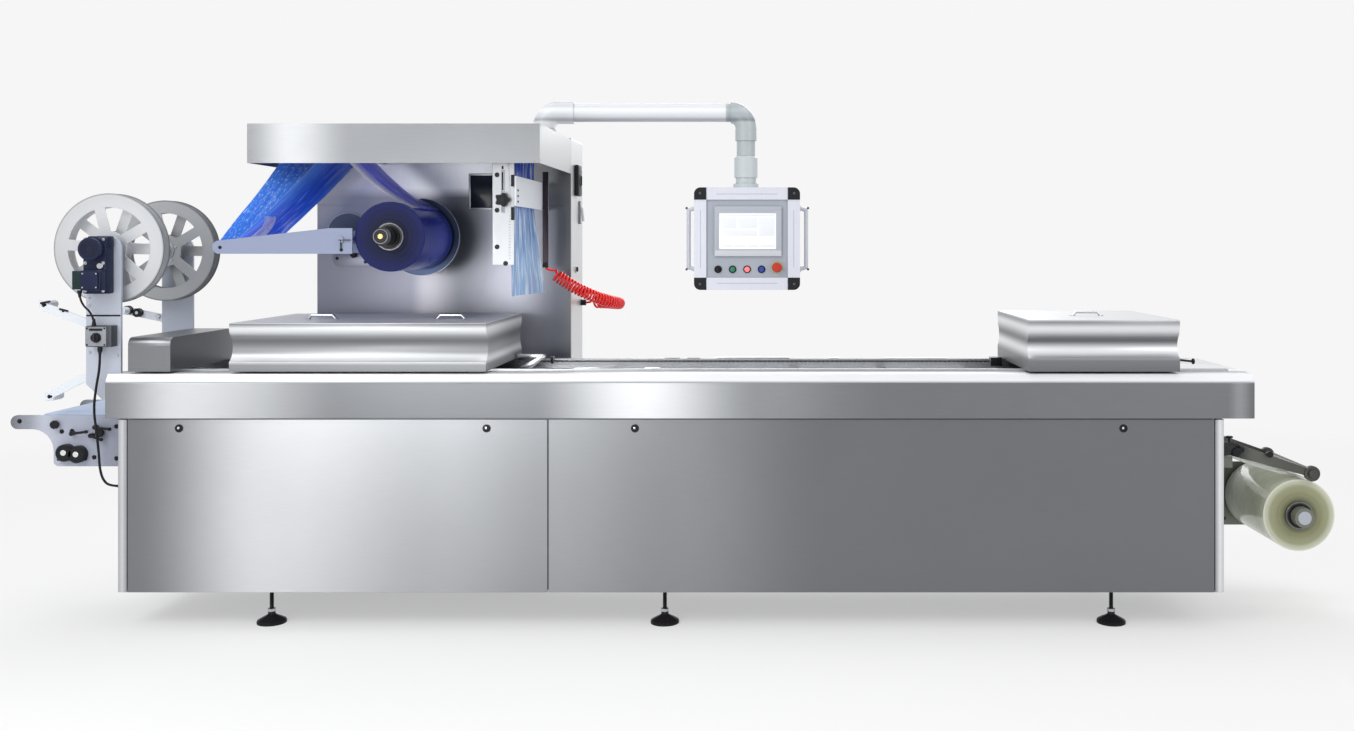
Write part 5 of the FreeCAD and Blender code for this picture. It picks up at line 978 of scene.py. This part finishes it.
def roll_noses():
    """Chuck at the nose of each roll shaft, and rim of the flange behind the top roll."""
    shell = Shell("top_roll_chuck")
    x, z = TOP_ROLL
    shell.lathe(ring_profile(35.3, 42, 0, 14), (x, -412, z), REAR, black_iron, 40, True)
    shell.lathe(ring_profile(26, 29, 0, 3), (x, -508, z), REAR, steel_dark, 32, True)
    shell.disc(25, 3, (x, -507.6, z), REAR, black_iron, 1)
    shell.lathe(ring_profile(162.6, 164.6, 0, 2, 0.4), (x, 48.4, z), REAR, steel_plain, 72, True)
    shell.disc(10, 4, (x, -510, z), REAR, brass, 1)
    for step in range(6):
        angle = math.radians(60 * step + 12)
        place = (x + 35 * math.cos(angle), -470, z + 35 * math.sin(angle))
        away = (math.cos(angle), 0, math.sin(angle))
        shell.disc(5, 3, place, away, black_iron, 0.8, 12)
    shell.done("machine")
    x, z = LOWER_ROLL
    shell = Shell("lower_roll_chuck")
    shell.lathe(ring_profile(38.3, 47, 0, 10), (x, -400, z), REAR, black_iron, 40, True)
    shell.disc(26, 2, (x, -443.5, z), REAR, bezel_grey, 0.8)
    shell.done("machine")


roll_noses()

# Operator panel
SCREEN_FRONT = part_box("control_screen")[0][1] * 1000
PLATE_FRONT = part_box("control_plate")[0][1] * 1000


def operator_screen():
    """Bezel with a recessed white screen that shows a few plain fields."""
    left, right, low, high = 144, 416, 1418, 1620
    shell = Shell("operator_screen")
    face = SCREEN_FRONT
    for across, up, material in (
        ((left, right), (low, 1441), bezel_light), ((left, right), (1601, high), bezel_grey),
        ((left, 162), (1441, 1601), bezel_grey), ((394, right), (1441, 1601), bezel_grey),
        ((162, 394), (1441, 1447), bezel_grey), ((162, 394), (1593, 1601), bezel_grey)
    ):
        shell.box(across, (face, PLATE_FRONT), up, material, 0.6)
    shell.box((161, 395), (face + 3, PLATE_FRONT), (1446, 1594), screen_white, 0.4)
    for across, up in (
        ((168, 388), (1580, 1588)), ((168, 232), (1530, 1574)), ((238, 318), (1530, 1574)),
        ((324, 388), (1500, 1574)), ((168, 318), (1500, 1524)), ((168, 214), (1453, 1466)),
        ((222, 268), (1453, 1466)), ((276, 322), (1453, 1466)), ((330, 388), (1453, 1466))
    ):
        shell.box(across, (face + 2.6, face + 3.2), up, screen_grey, 0.1)
    shell.done("operator_panel", ["control_screen"])


def operator_buttons():
    """Selector, three push buttons and the stop button on its ring."""
    shell = Shell("operator_buttons")
    for x, cap in ((158, black_plastic), (217, cap_green), (276, cap_lit), (335, cap_blue)):
        place = (x, PLATE_FRONT, 1364)
        shell.lathe(
            [(0, 0), (15.5, 0), (15.5, 3), (13.5, 5), (11.5, 5), (11.5, 3.4), (0, 3.4)], place, FRONT,
            black_plastic, 32
        )
        shell.lathe([(0, 3), (10.6, 3), (10.6, 9), (9.4, 10.2), (0, 10.8)], place, FRONT, cap, 32)
    shell.box((155, 161), (PLATE_FRONT - 17, PLATE_FRONT - 9), (1353, 1375), black_plastic, 1.2)
    place = (398, PLATE_FRONT, 1372)
    shell.lathe([(0, 0), (23, 0), (23, 2), (21.5, 3), (0, 3)], place, FRONT, ring_yellow, 40)
    shell.lathe(
        [(0, 2.5), (14, 2.5), (14, 14), (20, 18), (20, 25), (17, 28.5), (0, 30)], place, FRONT, cap_red,
        40
    )
    shell.done("operator_panel", ["control_buttons"])


def operator_grips():
    """A bent grip on each side of the operator box, on two feet."""
    shell = Shell("operator_grips")
    low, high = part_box("control_handles")
    middle = (low[1] + high[1]) * 500
    top, bottom = high[2] * 1000 - 9, low[2] * 1000 + 9
    for box_side, grip_x in ((60, 26), (492, 526)):
        line = rounded(
            [
                (box_side, middle, top), (grip_x, middle, top), (grip_x, middle, bottom),
                (box_side, middle, bottom)
            ],
            9
        )
        shell.sweep(line, 8.6, grip_white, 16)
        away = (math.copysign(1, grip_x - box_side), 0, 0)
        for z in (top, bottom):
            shell.disc(12.5, 4, (box_side, middle, z), away, grip_white, 1)
            shell.disc(5, 2, (grip_x, middle - 7.4, z), FRONT, box_dark, 0.5, 16)
    shell.done("operator_panel", ["control_handles"])


def operator_frame_lines():
    """Grooves along the four extruded profiles, small corner screws and the neck's bolts."""
    shell = Shell("operator_frame_trim")
    left, right, low, high = 60, 492, 1280, 1698
    front = -178.4
    for z in (low + 26, high - 28):
        shell.box((left + 92, right - 92), (front, front + 1), (z, z + 2.4), bezel_grey, 0.2)
    for x in (left + 25, right - 27):
        shell.box((x, x + 2.4), (front, front + 1), (low + 92, high - 92), bezel_grey, 0.2)
    for x in (left + 24, right - 24):
        for z in (low + 24, high - 24):
            shell.disc(5.5, 1.6, (x, -180, z), FRONT, box_dark, 0.5, 16)
    for step in range(6):
        angle = math.radians(60 * step + 30)
        place = (270 + 46 * math.cos(angle), -116 + 46 * math.sin(angle), 1714)
        shell.bolt(4.2, place, UP, bolt_steel)
    shell.done("operator_panel")


operator_screen()
operator_buttons()
operator_grips()
operator_frame_lines()

# Winders
POST_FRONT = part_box("reel_posts")[0][1] * 1000
MOTOR_FRONT = -542
TRIM_FRONT = -480


def winder_motor():
    """Geared motor on the front post: gear case, finned motor with its cowl, and terminal box."""
    shell = Shell("winder_motor")
    shell.box((-2231, -2143), (MOTOR_FRONT, POST_FRONT), (1278, 1492), motor_navy, 7)
    shell.box((-2225, -2138), (-520, -492), (1452, 1497), motor_navy, 4)
    centre = (-2187, MOTOR_FRONT, 1448)
    shell.lathe(
        [(0, 0), (46, 0), (46, 5), (40, 6), (40, 26), (43, 27), (43, 37), (39, 40), (0, 40)], centre,
        FRONT, motor_navy, 40
    )
    fins = 20
    for step in range(fins):
        angle = 2 * math.pi * step / fins
        away = Vector((math.cos(angle), 0, math.sin(angle)))
        side = Vector((-math.sin(angle), 0, math.cos(angle)))
        middle = Vector(centre)
        places = []
        for depth in (-7, -25):
            for reach, half in ((38, 1.1), (42.5, 1.1)):
                for sign in (-1, 1):
                    places.append(middle + away * reach + side * half * sign + Vector((0, depth, 0)))
        shell.solid(
            places, [(0, 1, 3, 2), (4, 6, 7, 5), (0, 2, 6, 4), (1, 5, 7, 3), (0, 4, 5, 1), (2, 3, 7, 6)],
            motor_navy, 0.3
        )
    for reach in (12, 20, 28):
        shell.lathe(
            ring_profile(reach, reach + 3, 0, 1.6, 0.4), (centre[0], centre[1] - 39.6, centre[2]), FRONT,
            black_plastic, 32, True
        )
    for x in (-2221, -2153):
        for z in (1290, 1395, 1484):
            shell.bolt(4.4, (x, MOTOR_FRONT, z), FRONT, bolt_steel)
    shell.disc(12, 5, (-2165, MOTOR_FRONT, 1384), FRONT, bolt_steel, 1.5)
    shell.box((-2251, -2216), (-580, -526), (1296, 1366), lid_green, 3)
    shell.box((-2220, -2145), (-580, -526), (1292, 1368), motor_navy, 3)
    shell.box((-2214, -2151), (-587.6, -579), (1298, 1362), motor_navy, 2)
    for x in (-2208, -2157):
        for z in (1304, 1356):
            shell.disc(3.2, 1.4, (x, -586.4, z), FRONT, bolt_steel, 0.4, 12)
    shell.done("machine", ["reel_motor"])


def winder_switch():
    """Switch box with a raised lid, four screws and a knob with a pointer."""
    shell = Shell("winder_switch")
    left, right, low, high = -2226, -2130, 1076, 1156
    shell.box((left, right), (-528, POST_FRONT), (low, high), box_dark, 3)
    shell.box((left + 1, right - 14), (-536, -527), (low + 2, high - 2), box_grey, 2.5)
    shell.box((left + 16, right - 30), (-538, -535), (high - 18, high - 9), black_plastic, 0.8)
    for x in (left + 8, right - 22):
        for z in (low + 9, high - 9):
            shell.disc(3.4, 2, (x, -535.5, z), FRONT, black_iron, 0.5, 12)
    knob = (-2183, -536, 1112)
    shell.lathe(
        [(0, 0), (19, 0), (19, 3), (16, 4), (15, 14), (13, 16), (0, 16)], knob, FRONT, black_plastic, 32
    )
    shell.box((-2186, -2180), (-557.5, -550), (1098, 1126), black_plastic, 1)
    shell.done("machine", ["reel_switch_box"])


def winder_trim():
    """Hub caps, strap, levers, rollers and bolts of the winders and trim arms."""
    for name, body, x, y, z, away in (
        ("front_reel_hub", "front_reel", FRONT_REEL[0], -386, FRONT_REEL[1], REAR),
        ("back_reel_hub", "back_reel", BACK_REEL[0], 34, BACK_REEL[1], FRONT)
    ):
        shell = Shell(name)
        shell.lathe(
            [(0, 0), (40, 0), (40, 3), (34, 5), (24, 5), (22, 11), (0, 12)], (x, y, z), away, reel_grey,
            40
        )
        for step in range(5):
            angle = math.radians(72 * step + 18)
            place = (x + 48 * math.cos(angle), y, z + 48 * math.sin(angle))
            shell.bolt(4.5, place, away, bolt_steel)
        shell.done(body)
    shell = Shell("winder_trim")
    shell.box((-2249, -2119), (POST_FRONT - 2, POST_FRONT), (1190, 1196), black_plastic, 0.5)
    for x, z in ((-2239, 1262), (-2239, 1230), (-2130, 1040), (-2130, 905), (-2236, 1052)):
        shell.bolt(4.5, (x, POST_FRONT, z), FRONT, bolt_steel)
    for x, z in ((-2408, 1234), (-2340, 1210), (-2386, 882)):
        shell.disc(6, 12, (x, TRIM_FRONT + 12, z), FRONT, black_iron, 1)
    for start, end in (((-2425, 1240), (-2388, 1247)), ((-2352, 1218), (-2320, 1210))):
        ends = [(x, TRIM_FRONT - 3, z) for x, z in (start, end)]
        shell.sweep(ends, 4, black_plastic, 10)
    shell.bolts(5, ((-2415, TRIM_FRONT, 1233), (-2393, TRIM_FRONT, 882)), black_iron)
    for x, z in ((-2393, 1183), (-2350, 1172)):
        shell.lathe(
            [(0, 0), (19, 0), (19, 4), (17, 6), (17, 16), (19, 18), (19, 22), (0, 22)], (x, 120, z),
            FRONT, black_plastic, 28
        )
        shell.disc(7, 3, (x, 98, z), FRONT, bolt_steel, 1)
    shell.disc(10, 8, (-2268, 120, 1155), FRONT, bolt_steel, 1.5)
    shell.done("machine")


def outfeed_trim():
    """Bolts, levers and the two-lobed drive cover on the front plate of the outfeed."""
    shell = Shell("outfeed_drive")
    face = -425
    for x, z in ((-2354, 660), (-2306, 654)):
        shell.lathe([(0, 0), (33, 0), (33, 26), (29, 30), (0, 30)], (x, face, z), FRONT, black_plastic, 40)
    shell.box((-2386, -2274), (face - 22, face), (628, 672), black_plastic, 8)
    for x, z in ((-2354, 662), (-2306, 656)):
        shell.disc(11, 3, (x, face - 30, z), FRONT, steel_bright, 1)
    for x, z in ((-2394, 769), (-2220, 737)):
        shell.knob((9, 12), (17, 14, 23), (14, 26), (x, face, z), black_plastic)
    for x, z in ((-2540, 780), (-2376, 740), (-2336, 742), (-2164, 636), (-2164, 760), (-2250, 640)):
        shell.bolt(6, (x, face, z), FRONT, black_iron)
    for start, end in (
        ((-2330, -447, 734), (-2270, -447, 742)), ((-2256, -447, 726), (-2212, -447, 712)),
        ((-2240, -447, 758), (-2180, -447, 752))
    ):
        shell.sweep([start, end], 5, black_iron, 10)
        shell.disc(9, 20, (start[0], face, start[2]), FRONT, black_iron, 1.5)
        shell.disc(7, 8, (end[0], -443, end[2]), FRONT, black_plastic, 1.5)
    shell.done("machine", ["outfeed_fittings"])


winder_motor()
winder_switch()
winder_trim()
outfeed_trim()


# Cabinet, hood and film guide
def cabinet_trim():
    """Main switch, L handle and lock on the cabinet's side, window and dancer stop on its front."""
    shell = Shell("cabinet_controls")
    side = -512
    shell.box((side, side + 22), (346, 442), (1683, 1824), black_plastic, 9)
    shell.lathe([(0, 0), (30, 0), (28, 3), (0, 3.5)], (side + 22, 394, 1752), RIGHT, black_plastic, 32)
    shell.box((side + 24, side + 29), (389, 399), (1732, 1774), black_plastic, 1.6)
    shell.disc(5, 2, (side + 22, 424, 1806), RIGHT, screen_white, 0.5)
    shell.box((side, side + 8), (476, 516), (1560, 1664), pendant_grey, 3)
    shell.sweep(
        rounded([(side + 6, 496, 1640), (side + 19, 496, 1640), (side + 19, 496, 1572)], 8), 6,
        handle_grey, 14
    )
    shell.disc(17, 4, (side, 394, 1353), RIGHT, bolt_steel, 1)
    shell.disc(11, 8, (side + 3, 394, 1353), RIGHT, black_plastic, 1)
    left, right, low, high = -958, -852, 1626, 1772
    shell.box((left, right), (263.6, 269.5), (low, high), black_gloss, 0.4)
    for across, up in (
        ((left - 7, left + 2), (low - 7, high + 7)), ((right - 2, right + 7), (low - 7, high + 7)),
        ((left, right), (low - 7, low + 2)), ((left, right), (high - 2, high + 7))
    ):
        shell.box(across, (262.6, 270), up, steel_plain, 1)
    shell.done("machine", ["cabinet_fittings"])
    shell = Shell("dancer_stop")
    turn_x, turn_z, turn_radius = -1530, 1404, 36
    outline = [(-1400, 1366), (-1400, 1432), (turn_x, turn_z + turn_radius)]
    for degrees in range(105, 270, 15):
        angle = math.radians(degrees)
        outline.append((turn_x + turn_radius * math.cos(angle), turn_z + turn_radius * math.sin(angle)))
    outline.append((turn_x, turn_z - turn_radius))
    shell.prism("Y", outline, 258, 270, steel_cabinet, 1.2)
    disc_x, disc_z, disc_radius = -1497, 1511, 92
    shell.disc(disc_radius, 7, (disc_x, 263, disc_z), REAR, stop_disc, 1, 56)
    collar = ring_profile(disc_radius, disc_radius + 3, 0, 9, 0.8)
    shell.lathe(collar, (disc_x, 261, disc_z), REAR, steel_plain, 56, True)
    # Thin sheet over the cabinet front under the hood that carries painted reflections and light; it stands
    # for no part of the machine
    shell.box((-1632, -517), (264.4, 266.6), (1640, 1922), painted_light_sheet, 0)
    shell.knob((8, 12), (14, 15, 26), (11, 29), (-1466, 258, 1420), black_plastic)
    shell.bolts(5, ((-1545, 258, 1404), (-1420, 258, 1388), (-1560, 270, 1440)), black_iron)
    shell.done("machine")


def guide_trim():
    """Scale slot, knob, clips and bolts of the film guide."""
    shell = Shell("film_guide_fittings")
    front = -434
    knob_x, knob_z = -662, 1637.6
    shell.lathe(
        [(0, 0), (10, 0), (10, 10), (15, 12), (0, 12)], (knob_x, front, knob_z), FRONT, black_plastic, 24
    )
    lobes = []
    corners = 60
    for step in range(corners):
        angle = 2 * math.pi * step / corners
        reach = 24 + 4 * math.cos(5 * angle)
        lobes.append((knob_x + reach * math.cos(angle), knob_z + reach * math.sin(angle)))
    shell.prism("Y", lobes, front - 30, front - 11, black_plastic, 2)
    shell.disc(8, 1.4, (knob_x, front - 29, knob_z), FRONT, black_iron, 0.4)
    shell.box((-668, -662), (front - 2.2, front + 0.5), (1676, 1745), black_iron, 0.8)
    for x, z in ((-686, 1735), (-686, 1598), (-686, 1456), (-653, 1392)):
        shell.bolt(6.5, (x, front, z), FRONT, black_iron)
    for up in ((1690, 1735), (1560, 1610)):
        shell.box((-631, -620), (front - 8, front + 14), up, black_plastic, 1.5)
    for z in (1676, 1654, 1632):
        shell.bolt(3.6, (-612, -404, z), RIGHT, black_iron)
    shell.box((-668, -661), (front - 2.4, front + 0.5), (1757, 1769), black_iron, 0.5)
    for z in range(1410, 1586, 11):
        shell.box((-640, -634), (front - 0.5, front + 0.3), (z, z + 1.4), box_dark, 0.1)
    shell.done("machine", ["guide_knobs"])
    shell = Shell("dancer_fittings")
    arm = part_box("dancer_arms")[0][1] * 1000
    shell.box((-1309, -1264), (arm - 0.8, arm + 8.2), (1481, 1484), black_iron, 0.3)
    shell.box((-1301, -1298), (arm - 0.8, arm + 8.2), (1446, 1481), black_iron, 0.3)
    shell.bolts(4.5, ((-1299.5, arm + 8, 1444), (-1772, arm + 8, 1454)), black_iron)
    shell.done("machine")


cabinet_trim()
guide_trim()


# Table
def cover_bows():
    """Bent bow handles on the two banded covers."""
    shell = Shell("cover_bows")
    y, wide, high, inset = -236, 125, 34, 6
    half = wide / 2 - inset
    for x, base in ((-1434.5, 1165.3), (-915.6, 1165.3), (1644.5, 1178.3)):
        top = base + high - inset
        line = rounded(
            [(x - half, y, base), (x - half, y, top), (x + half, y, top), (x + half, y, base)], 14
        )
        shell.sweep(line, 5.8, chrome, 14)
        for side in (-1, 1):
            shell.disc(11, 3, (x + half * side, y, base), UP, bolt_steel, 1)
    shell.done("machine", ["cover_handles"])


def panel_lock_heads():
    """Quarter-turn locks, front and back: a dark cup whose black disc paints the shade in its recess and
    whose bright square key paints a highlight.
    """
    shell = Shell("panel_lock_heads")
    height = 764
    for x in (-1883, -710, -144, 1719):
        for face, toward in ((-506, -1), (154, 1)):
            place = (x, face, height)
            shell.lathe(ring_profile(11, 15.5, 0, 3, 0.8), place, (0, toward, 0), black_iron, 32, True)
            # Black disc that paints the shade inside the lock's recess
            shell.disc(11, 1.2, place, (0, toward, 0), black_plastic, 0.3)
            # Bright square key that paints the lock's highlight
            shell.box(
                (x - 6, x + 2), sorted((face, face + 3.4 * toward)), (height - 3, height + 6),
                steel_bright, 0.6
            )
    shell.done("machine", ["panel_locks"])


def threaded_feet():
    """Levelling feet with a thread, a lock nut and a rubber pad."""
    shell = Shell("threaded_feet")
    stud = 8
    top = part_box("levelling_feet")[1][2] * 1000
    profile = [(0, 9), (53, 9), (54, 12), (40, 20), (20, 30), (14, 35), (14, 44), (stud, 44)]
    height = 46
    while height < top - 4:
        profile += [(stud - 0.9, height), (stud, height + 1.5)]
        height += 3
    profile += [(stud - 0.9, top), (0, top)]
    for x in (-1561, -37, 1693):
        for y in (-426, 74):
            shell.lathe(profile, (x, y, 0), UP, black_iron, 24)
            shell.lathe([(0, 0), (55, 0), (55, 8), (53, 9.5), (0, 9.5)], (x, y, 0), UP, rubber_black, 32)
            for base in (44, 122):
                shell.lathe(
                    [(0, 0), (15, 0), (16, 1), (16, 11), (15, 12), (0, 12)], (x, y, base), UP, bolt_steel,
                    6
                )
    shell.done("machine", ["levelling_feet"])


def chain_links():
    """Gripper chain along both guides, clamp bars, the loading area's low fittings, and a dark block and
    two bright strips that paint shade and highlights.
    """
    shell = Shell("gripper_chain")
    pitch = 19.05
    guides = ((33, -1), (-385, 1))
    x, end = -700.0, 1340
    while x < end:
        for face, toward in guides:
            deep = sorted((face, face + 3 * toward))
            shell.box((x + 1, x + pitch - 1), deep, (955, 964), bolt_steel, 0)
            shell.box((x + 3, x + pitch - 5), sorted((face, face + 5 * toward)), (966, 971), steel_dark, 0)
        x += pitch
    shell.done("machine")
    shell = Shell("deck_fittings")
    for across, deep, up, material in (
        ((-700, -592), (28, 62), (975, 1000), steel_bright),
        ((-560, -548), (24, 60), (960, 990), black_plastic),
        ((144, 452), (30, 58), (981, 987), steel_plain),
        ((-640, 1300), (28.6, 33.5), (966, 975.5), black_iron),
        # Black block that paints the shade in the gap at the forming cover's left end
        ((1302, 1352), (24, 60), (950, 988), black_plastic),
        ((-81, -14), (32, 58), (980.6, 984), black_iron), ((16, 72), (32, 58), (980.6, 984), black_iron),
        # The next two bright strips on the front guide paint highlights
        ((-390, -292), (-408, -388), (981, 985), steel_bright),
        ((-117, -58), (-408, -388), (981, 985), steel_bright),
        ((620, 660), (32, 58), (981, 986), steel_bright),
        ((860, 1120), (36, 54), (981, 984), steel_bright),
        ((1934, 2206), (-385.5, 33.5), (972.8, 975.6), steel_bright)
    ):
        shell.box(across, deep, up, material, 0.8)
    shell.prism(
        "Y", [(-660, 938.8), (-634, 938.8), (-560, 1000), (-568, 1012), (-656, 962)], -150, -70,
        steel_bright, 1
    )
    shell.sweep([(1926, -478, 1024), (1994, -478, 1017)], 4.4, black_iron, 12)
    shell.disc(11, 8, (1990, -478, 1017), RIGHT, black_plastic, 1.5)
    shell.disc(9, 5, (1931, -478, 1023.5), RIGHT, black_iron, 1)
    shell.done("machine")


cover_bows()
panel_lock_heads()
threaded_feet()
chain_links()


# Right end
def unwind_trim():
    """Knobs and bolts on the unwind dancer and its plate."""
    shell = Shell("unwind_fittings")
    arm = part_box("unwind_dancer")[0][1] * 1000
    for x, z, radius in ((2481, 573, 16), (2160, 672, 17)):
        shell.disc(radius, 5, (x, arm + 4, z), FRONT, arm_iron, 1.5)
    shell.disc(4.5, 30, (2157, arm + 10, 688), UP, black_iron, 0.8, 16)
    shell.disc(14, 7, (2157, arm + 10, 713), UP, black_plastic, 2)
    shell.knob((8, 4), (18, 7, 17), (14, 20), (2180, arm + 12, 659), black_plastic, 20)
    for x, z in ((2200, 668), (2312, 650)):
        shell.knob((6, 6), (13, 8, 16), (10, 18), (x, arm + 14, z), black_plastic)
    shell.bolts(6, ((2122, 52, 300), (2122, 52, 520), (2300, 52, 300)), black_iron)
    shell.done("machine")


unwind_trim()


# Back: plain service fittings of the same kinds as the front's
def back_trim():
    """Hinges and louvres on the back of the cabinet and the table."""
    shell = Shell("back_fittings")
    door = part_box("rear_cabinet")[1][1] * 1000
    for x in (-1600, -549):
        for z in (360, 1000, 1700):
            shell.lathe(
                [(0, 0), (7, 0), (8, 1), (8, 79), (7, 80), (0, 80)], (x, door - 8.6, z), UP, bolt_steel,
                20
            )
    rows, lowest, spacing = 9, 300, 22
    for row in range(rows):
        z = lowest + spacing * row
        for left in (-1420, -930):
            shell.prism(
                "X", [(door - 3, z), (door - 0.4, z + 3), (door - 0.4, z + 9), (door - 3, z + 13)], left,
                left + 200, steel_dark, 0.4
            )
    shell.done("machine")


back_trim()


def strain_reliefs():
    """Tapered ribbed sleeves where the cables enter, and the glands' nuts."""
    shell = Shell("cable_reliefs")
    profile = [(0, 0), (8.6, 0), (8.6, 3)]
    for rib in range(5):
        reach = 8.2 - 0.75 * rib
        base = 3 + 4.6 * rib
        profile += [
            (reach, base), (reach, base + 2.9), (reach - 1.2, base + 3.1), (reach - 1.2, base + 4.4)
        ]
    profile += [(4.8, 27), (0, 27)]
    for place, way in (
        ((-2239, -548, 1292), DOWN), ((-2200, -520, 1156), UP), ((-2180, -515, 1070), DOWN),
        ((-2119, -462, 536), LEFT)
    ):
        shell.lathe(profile, place, way, black_plastic, 20)
    shell.done("machine")


strain_reliefs()

# Cords: each repeats its route's places from the part's source
MOTOR_CABLE = [(-2239, -548, 1282), (-2239, -548, 1246), (-2200, -520, 1196), (-2200, -520, 1156)]
SUPPLY_CABLE = [
    (-2180, -515, 1058), (-2180, -515, 1000), (-2196, -510, 930), (-2212, -502, 840), (-2204, -494, 745),
    (-2202, -482, 665), (-2204, -472, 605), (-2196, -464, 560), (-2172, -462, 536), (-2131, -462, 536)
]
AIR_HOSE = [
    (-600, 124, 1366), (-510, 145, 1296), (-410, 197, 1240), (-337, 270, 1212), (-310, 370, 1200),
    (-330, 454, 1196), (-388, 519, 1197), (-488, 546, 1196)
]
MOTOR_DIAMETER = 0.0075
SUPPLY_DIAMETER = 0.009
HOSE_TUBE = 0.0104
HOSE_COIL = 0.056
HOSE_TURNS = 47
HOSE_LEAD = 0.006
HOSE_OPENING = 0.06
HOSE_TWIST = (0.028, 0.042)
POINTS_PER_TURN = 12
ROUTE_STEPS, COIL_STEPS = 8, 3


def nurbs(name, points, radius=0.0):
    """A curve object of one open NURBS spline."""
    data = bpy.data.curves.new(name, "CURVE")
    data.dimensions = "3D"
    spline = data.splines.new("NURBS")
    spline.points.add(len(points) - 1)
    for point, place in zip(spline.points, points):
        point.co = (*place, 1)
    spline.order_u = 3
    spline.use_endpoint_u = True
    data.resolution_u = ROUTE_STEPS
    data.bevel_depth = radius
    data.bevel_resolution = 4
    data.use_fill_caps = True
    return bpy.data.objects.new(name, data)


def run_length(points):
    return sum((b - a).length for a, b in zip(points, points[1:]))


def places_of(curve):
    """Places along a curve without a bevel, which is removed again."""
    scene.collection.objects.link(curve)
    bpy.context.view_layer.update()
    mesh = bpy.data.meshes.new_from_object(curve)
    bpy.data.objects.remove(curve)
    return [vertex.co.copy() for vertex in mesh.vertices]


def line_of(route):
    """Places along a route's own spline."""
    return places_of(nurbs("guide", [mm(*place) for place in route]))


def cable(name, route, diameter, replaced):
    obj = nurbs(name, [mm(*place) for place in route], diameter / 2)
    obj.data.materials.append(rubber_black)
    link_piece(obj, "machine", [replaced])
    run_length(line_of(route))


cable("winder_motor_cable", MOTOR_CABLE, MOTOR_DIAMETER, "motor_cable")
cable("winder_supply_cable", SUPPLY_CABLE, SUPPLY_DIAMETER, "supply_cable")


def ease(share):
    """Smooth rise from 0 to 1."""
    share = min(1.0, max(0.0, share))
    return share * share * (3 - 2 * share)


def coiled_hose():
    """The air hose: a helix round its route's spline that opens from a short straight lead at each end."""
    line = line_of(AIR_HOSE)
    total = run_length(line)
    reach = [0.0]
    for before, after in zip(line, line[1:]):
        reach.append(reach[-1] + (after - before).length)
    steps = HOSE_TURNS * POINTS_PER_TURN
    # A spline of this order runs a little inside its points, so the points stand wider
    coil_radius = (HOSE_COIL - HOSE_TUBE) / 2 * 1.03
    points = []
    index = 0
    turn = 0.0
    side = Vector(UP)
    for step in range(steps + 1):
        along = total * step / steps
        while index < len(line) - 2 and reach[index + 1] < along:
            index += 1
        share = (along - reach[index]) / max(reach[index + 1] - reach[index], 1e-9)
        centre = line[index].lerp(line[index + 1], share)
        way = (line[index + 1] - line[index]).normalized()
        side = (side - way * side.dot(way)).normalized()
        other = way.cross(side)
        inside = min(along, total - along) - HOSE_LEAD
        radius = coil_radius * ease(inside / HOSE_OPENING)
        turn += 2 * math.pi / POINTS_PER_TURN * ease((inside - HOSE_TWIST[0]) / HOSE_TWIST[1])
        points.append(centre + side * math.cos(turn) * radius + other * math.sin(turn) * radius)
    obj = nurbs("coiled_air_hose", points, HOSE_TUBE / 2)
    obj.data.resolution_u = COIL_STEPS
    obj.data.bevel_resolution = 3
    obj.data.materials.append(hose_red)
    link_piece(obj, "machine", ["air_hose"])
    bare = nurbs("guide", points)
    bare.data.resolution_u = COIL_STEPS
    measured = run_length(places_of(bare))


coiled_hose()
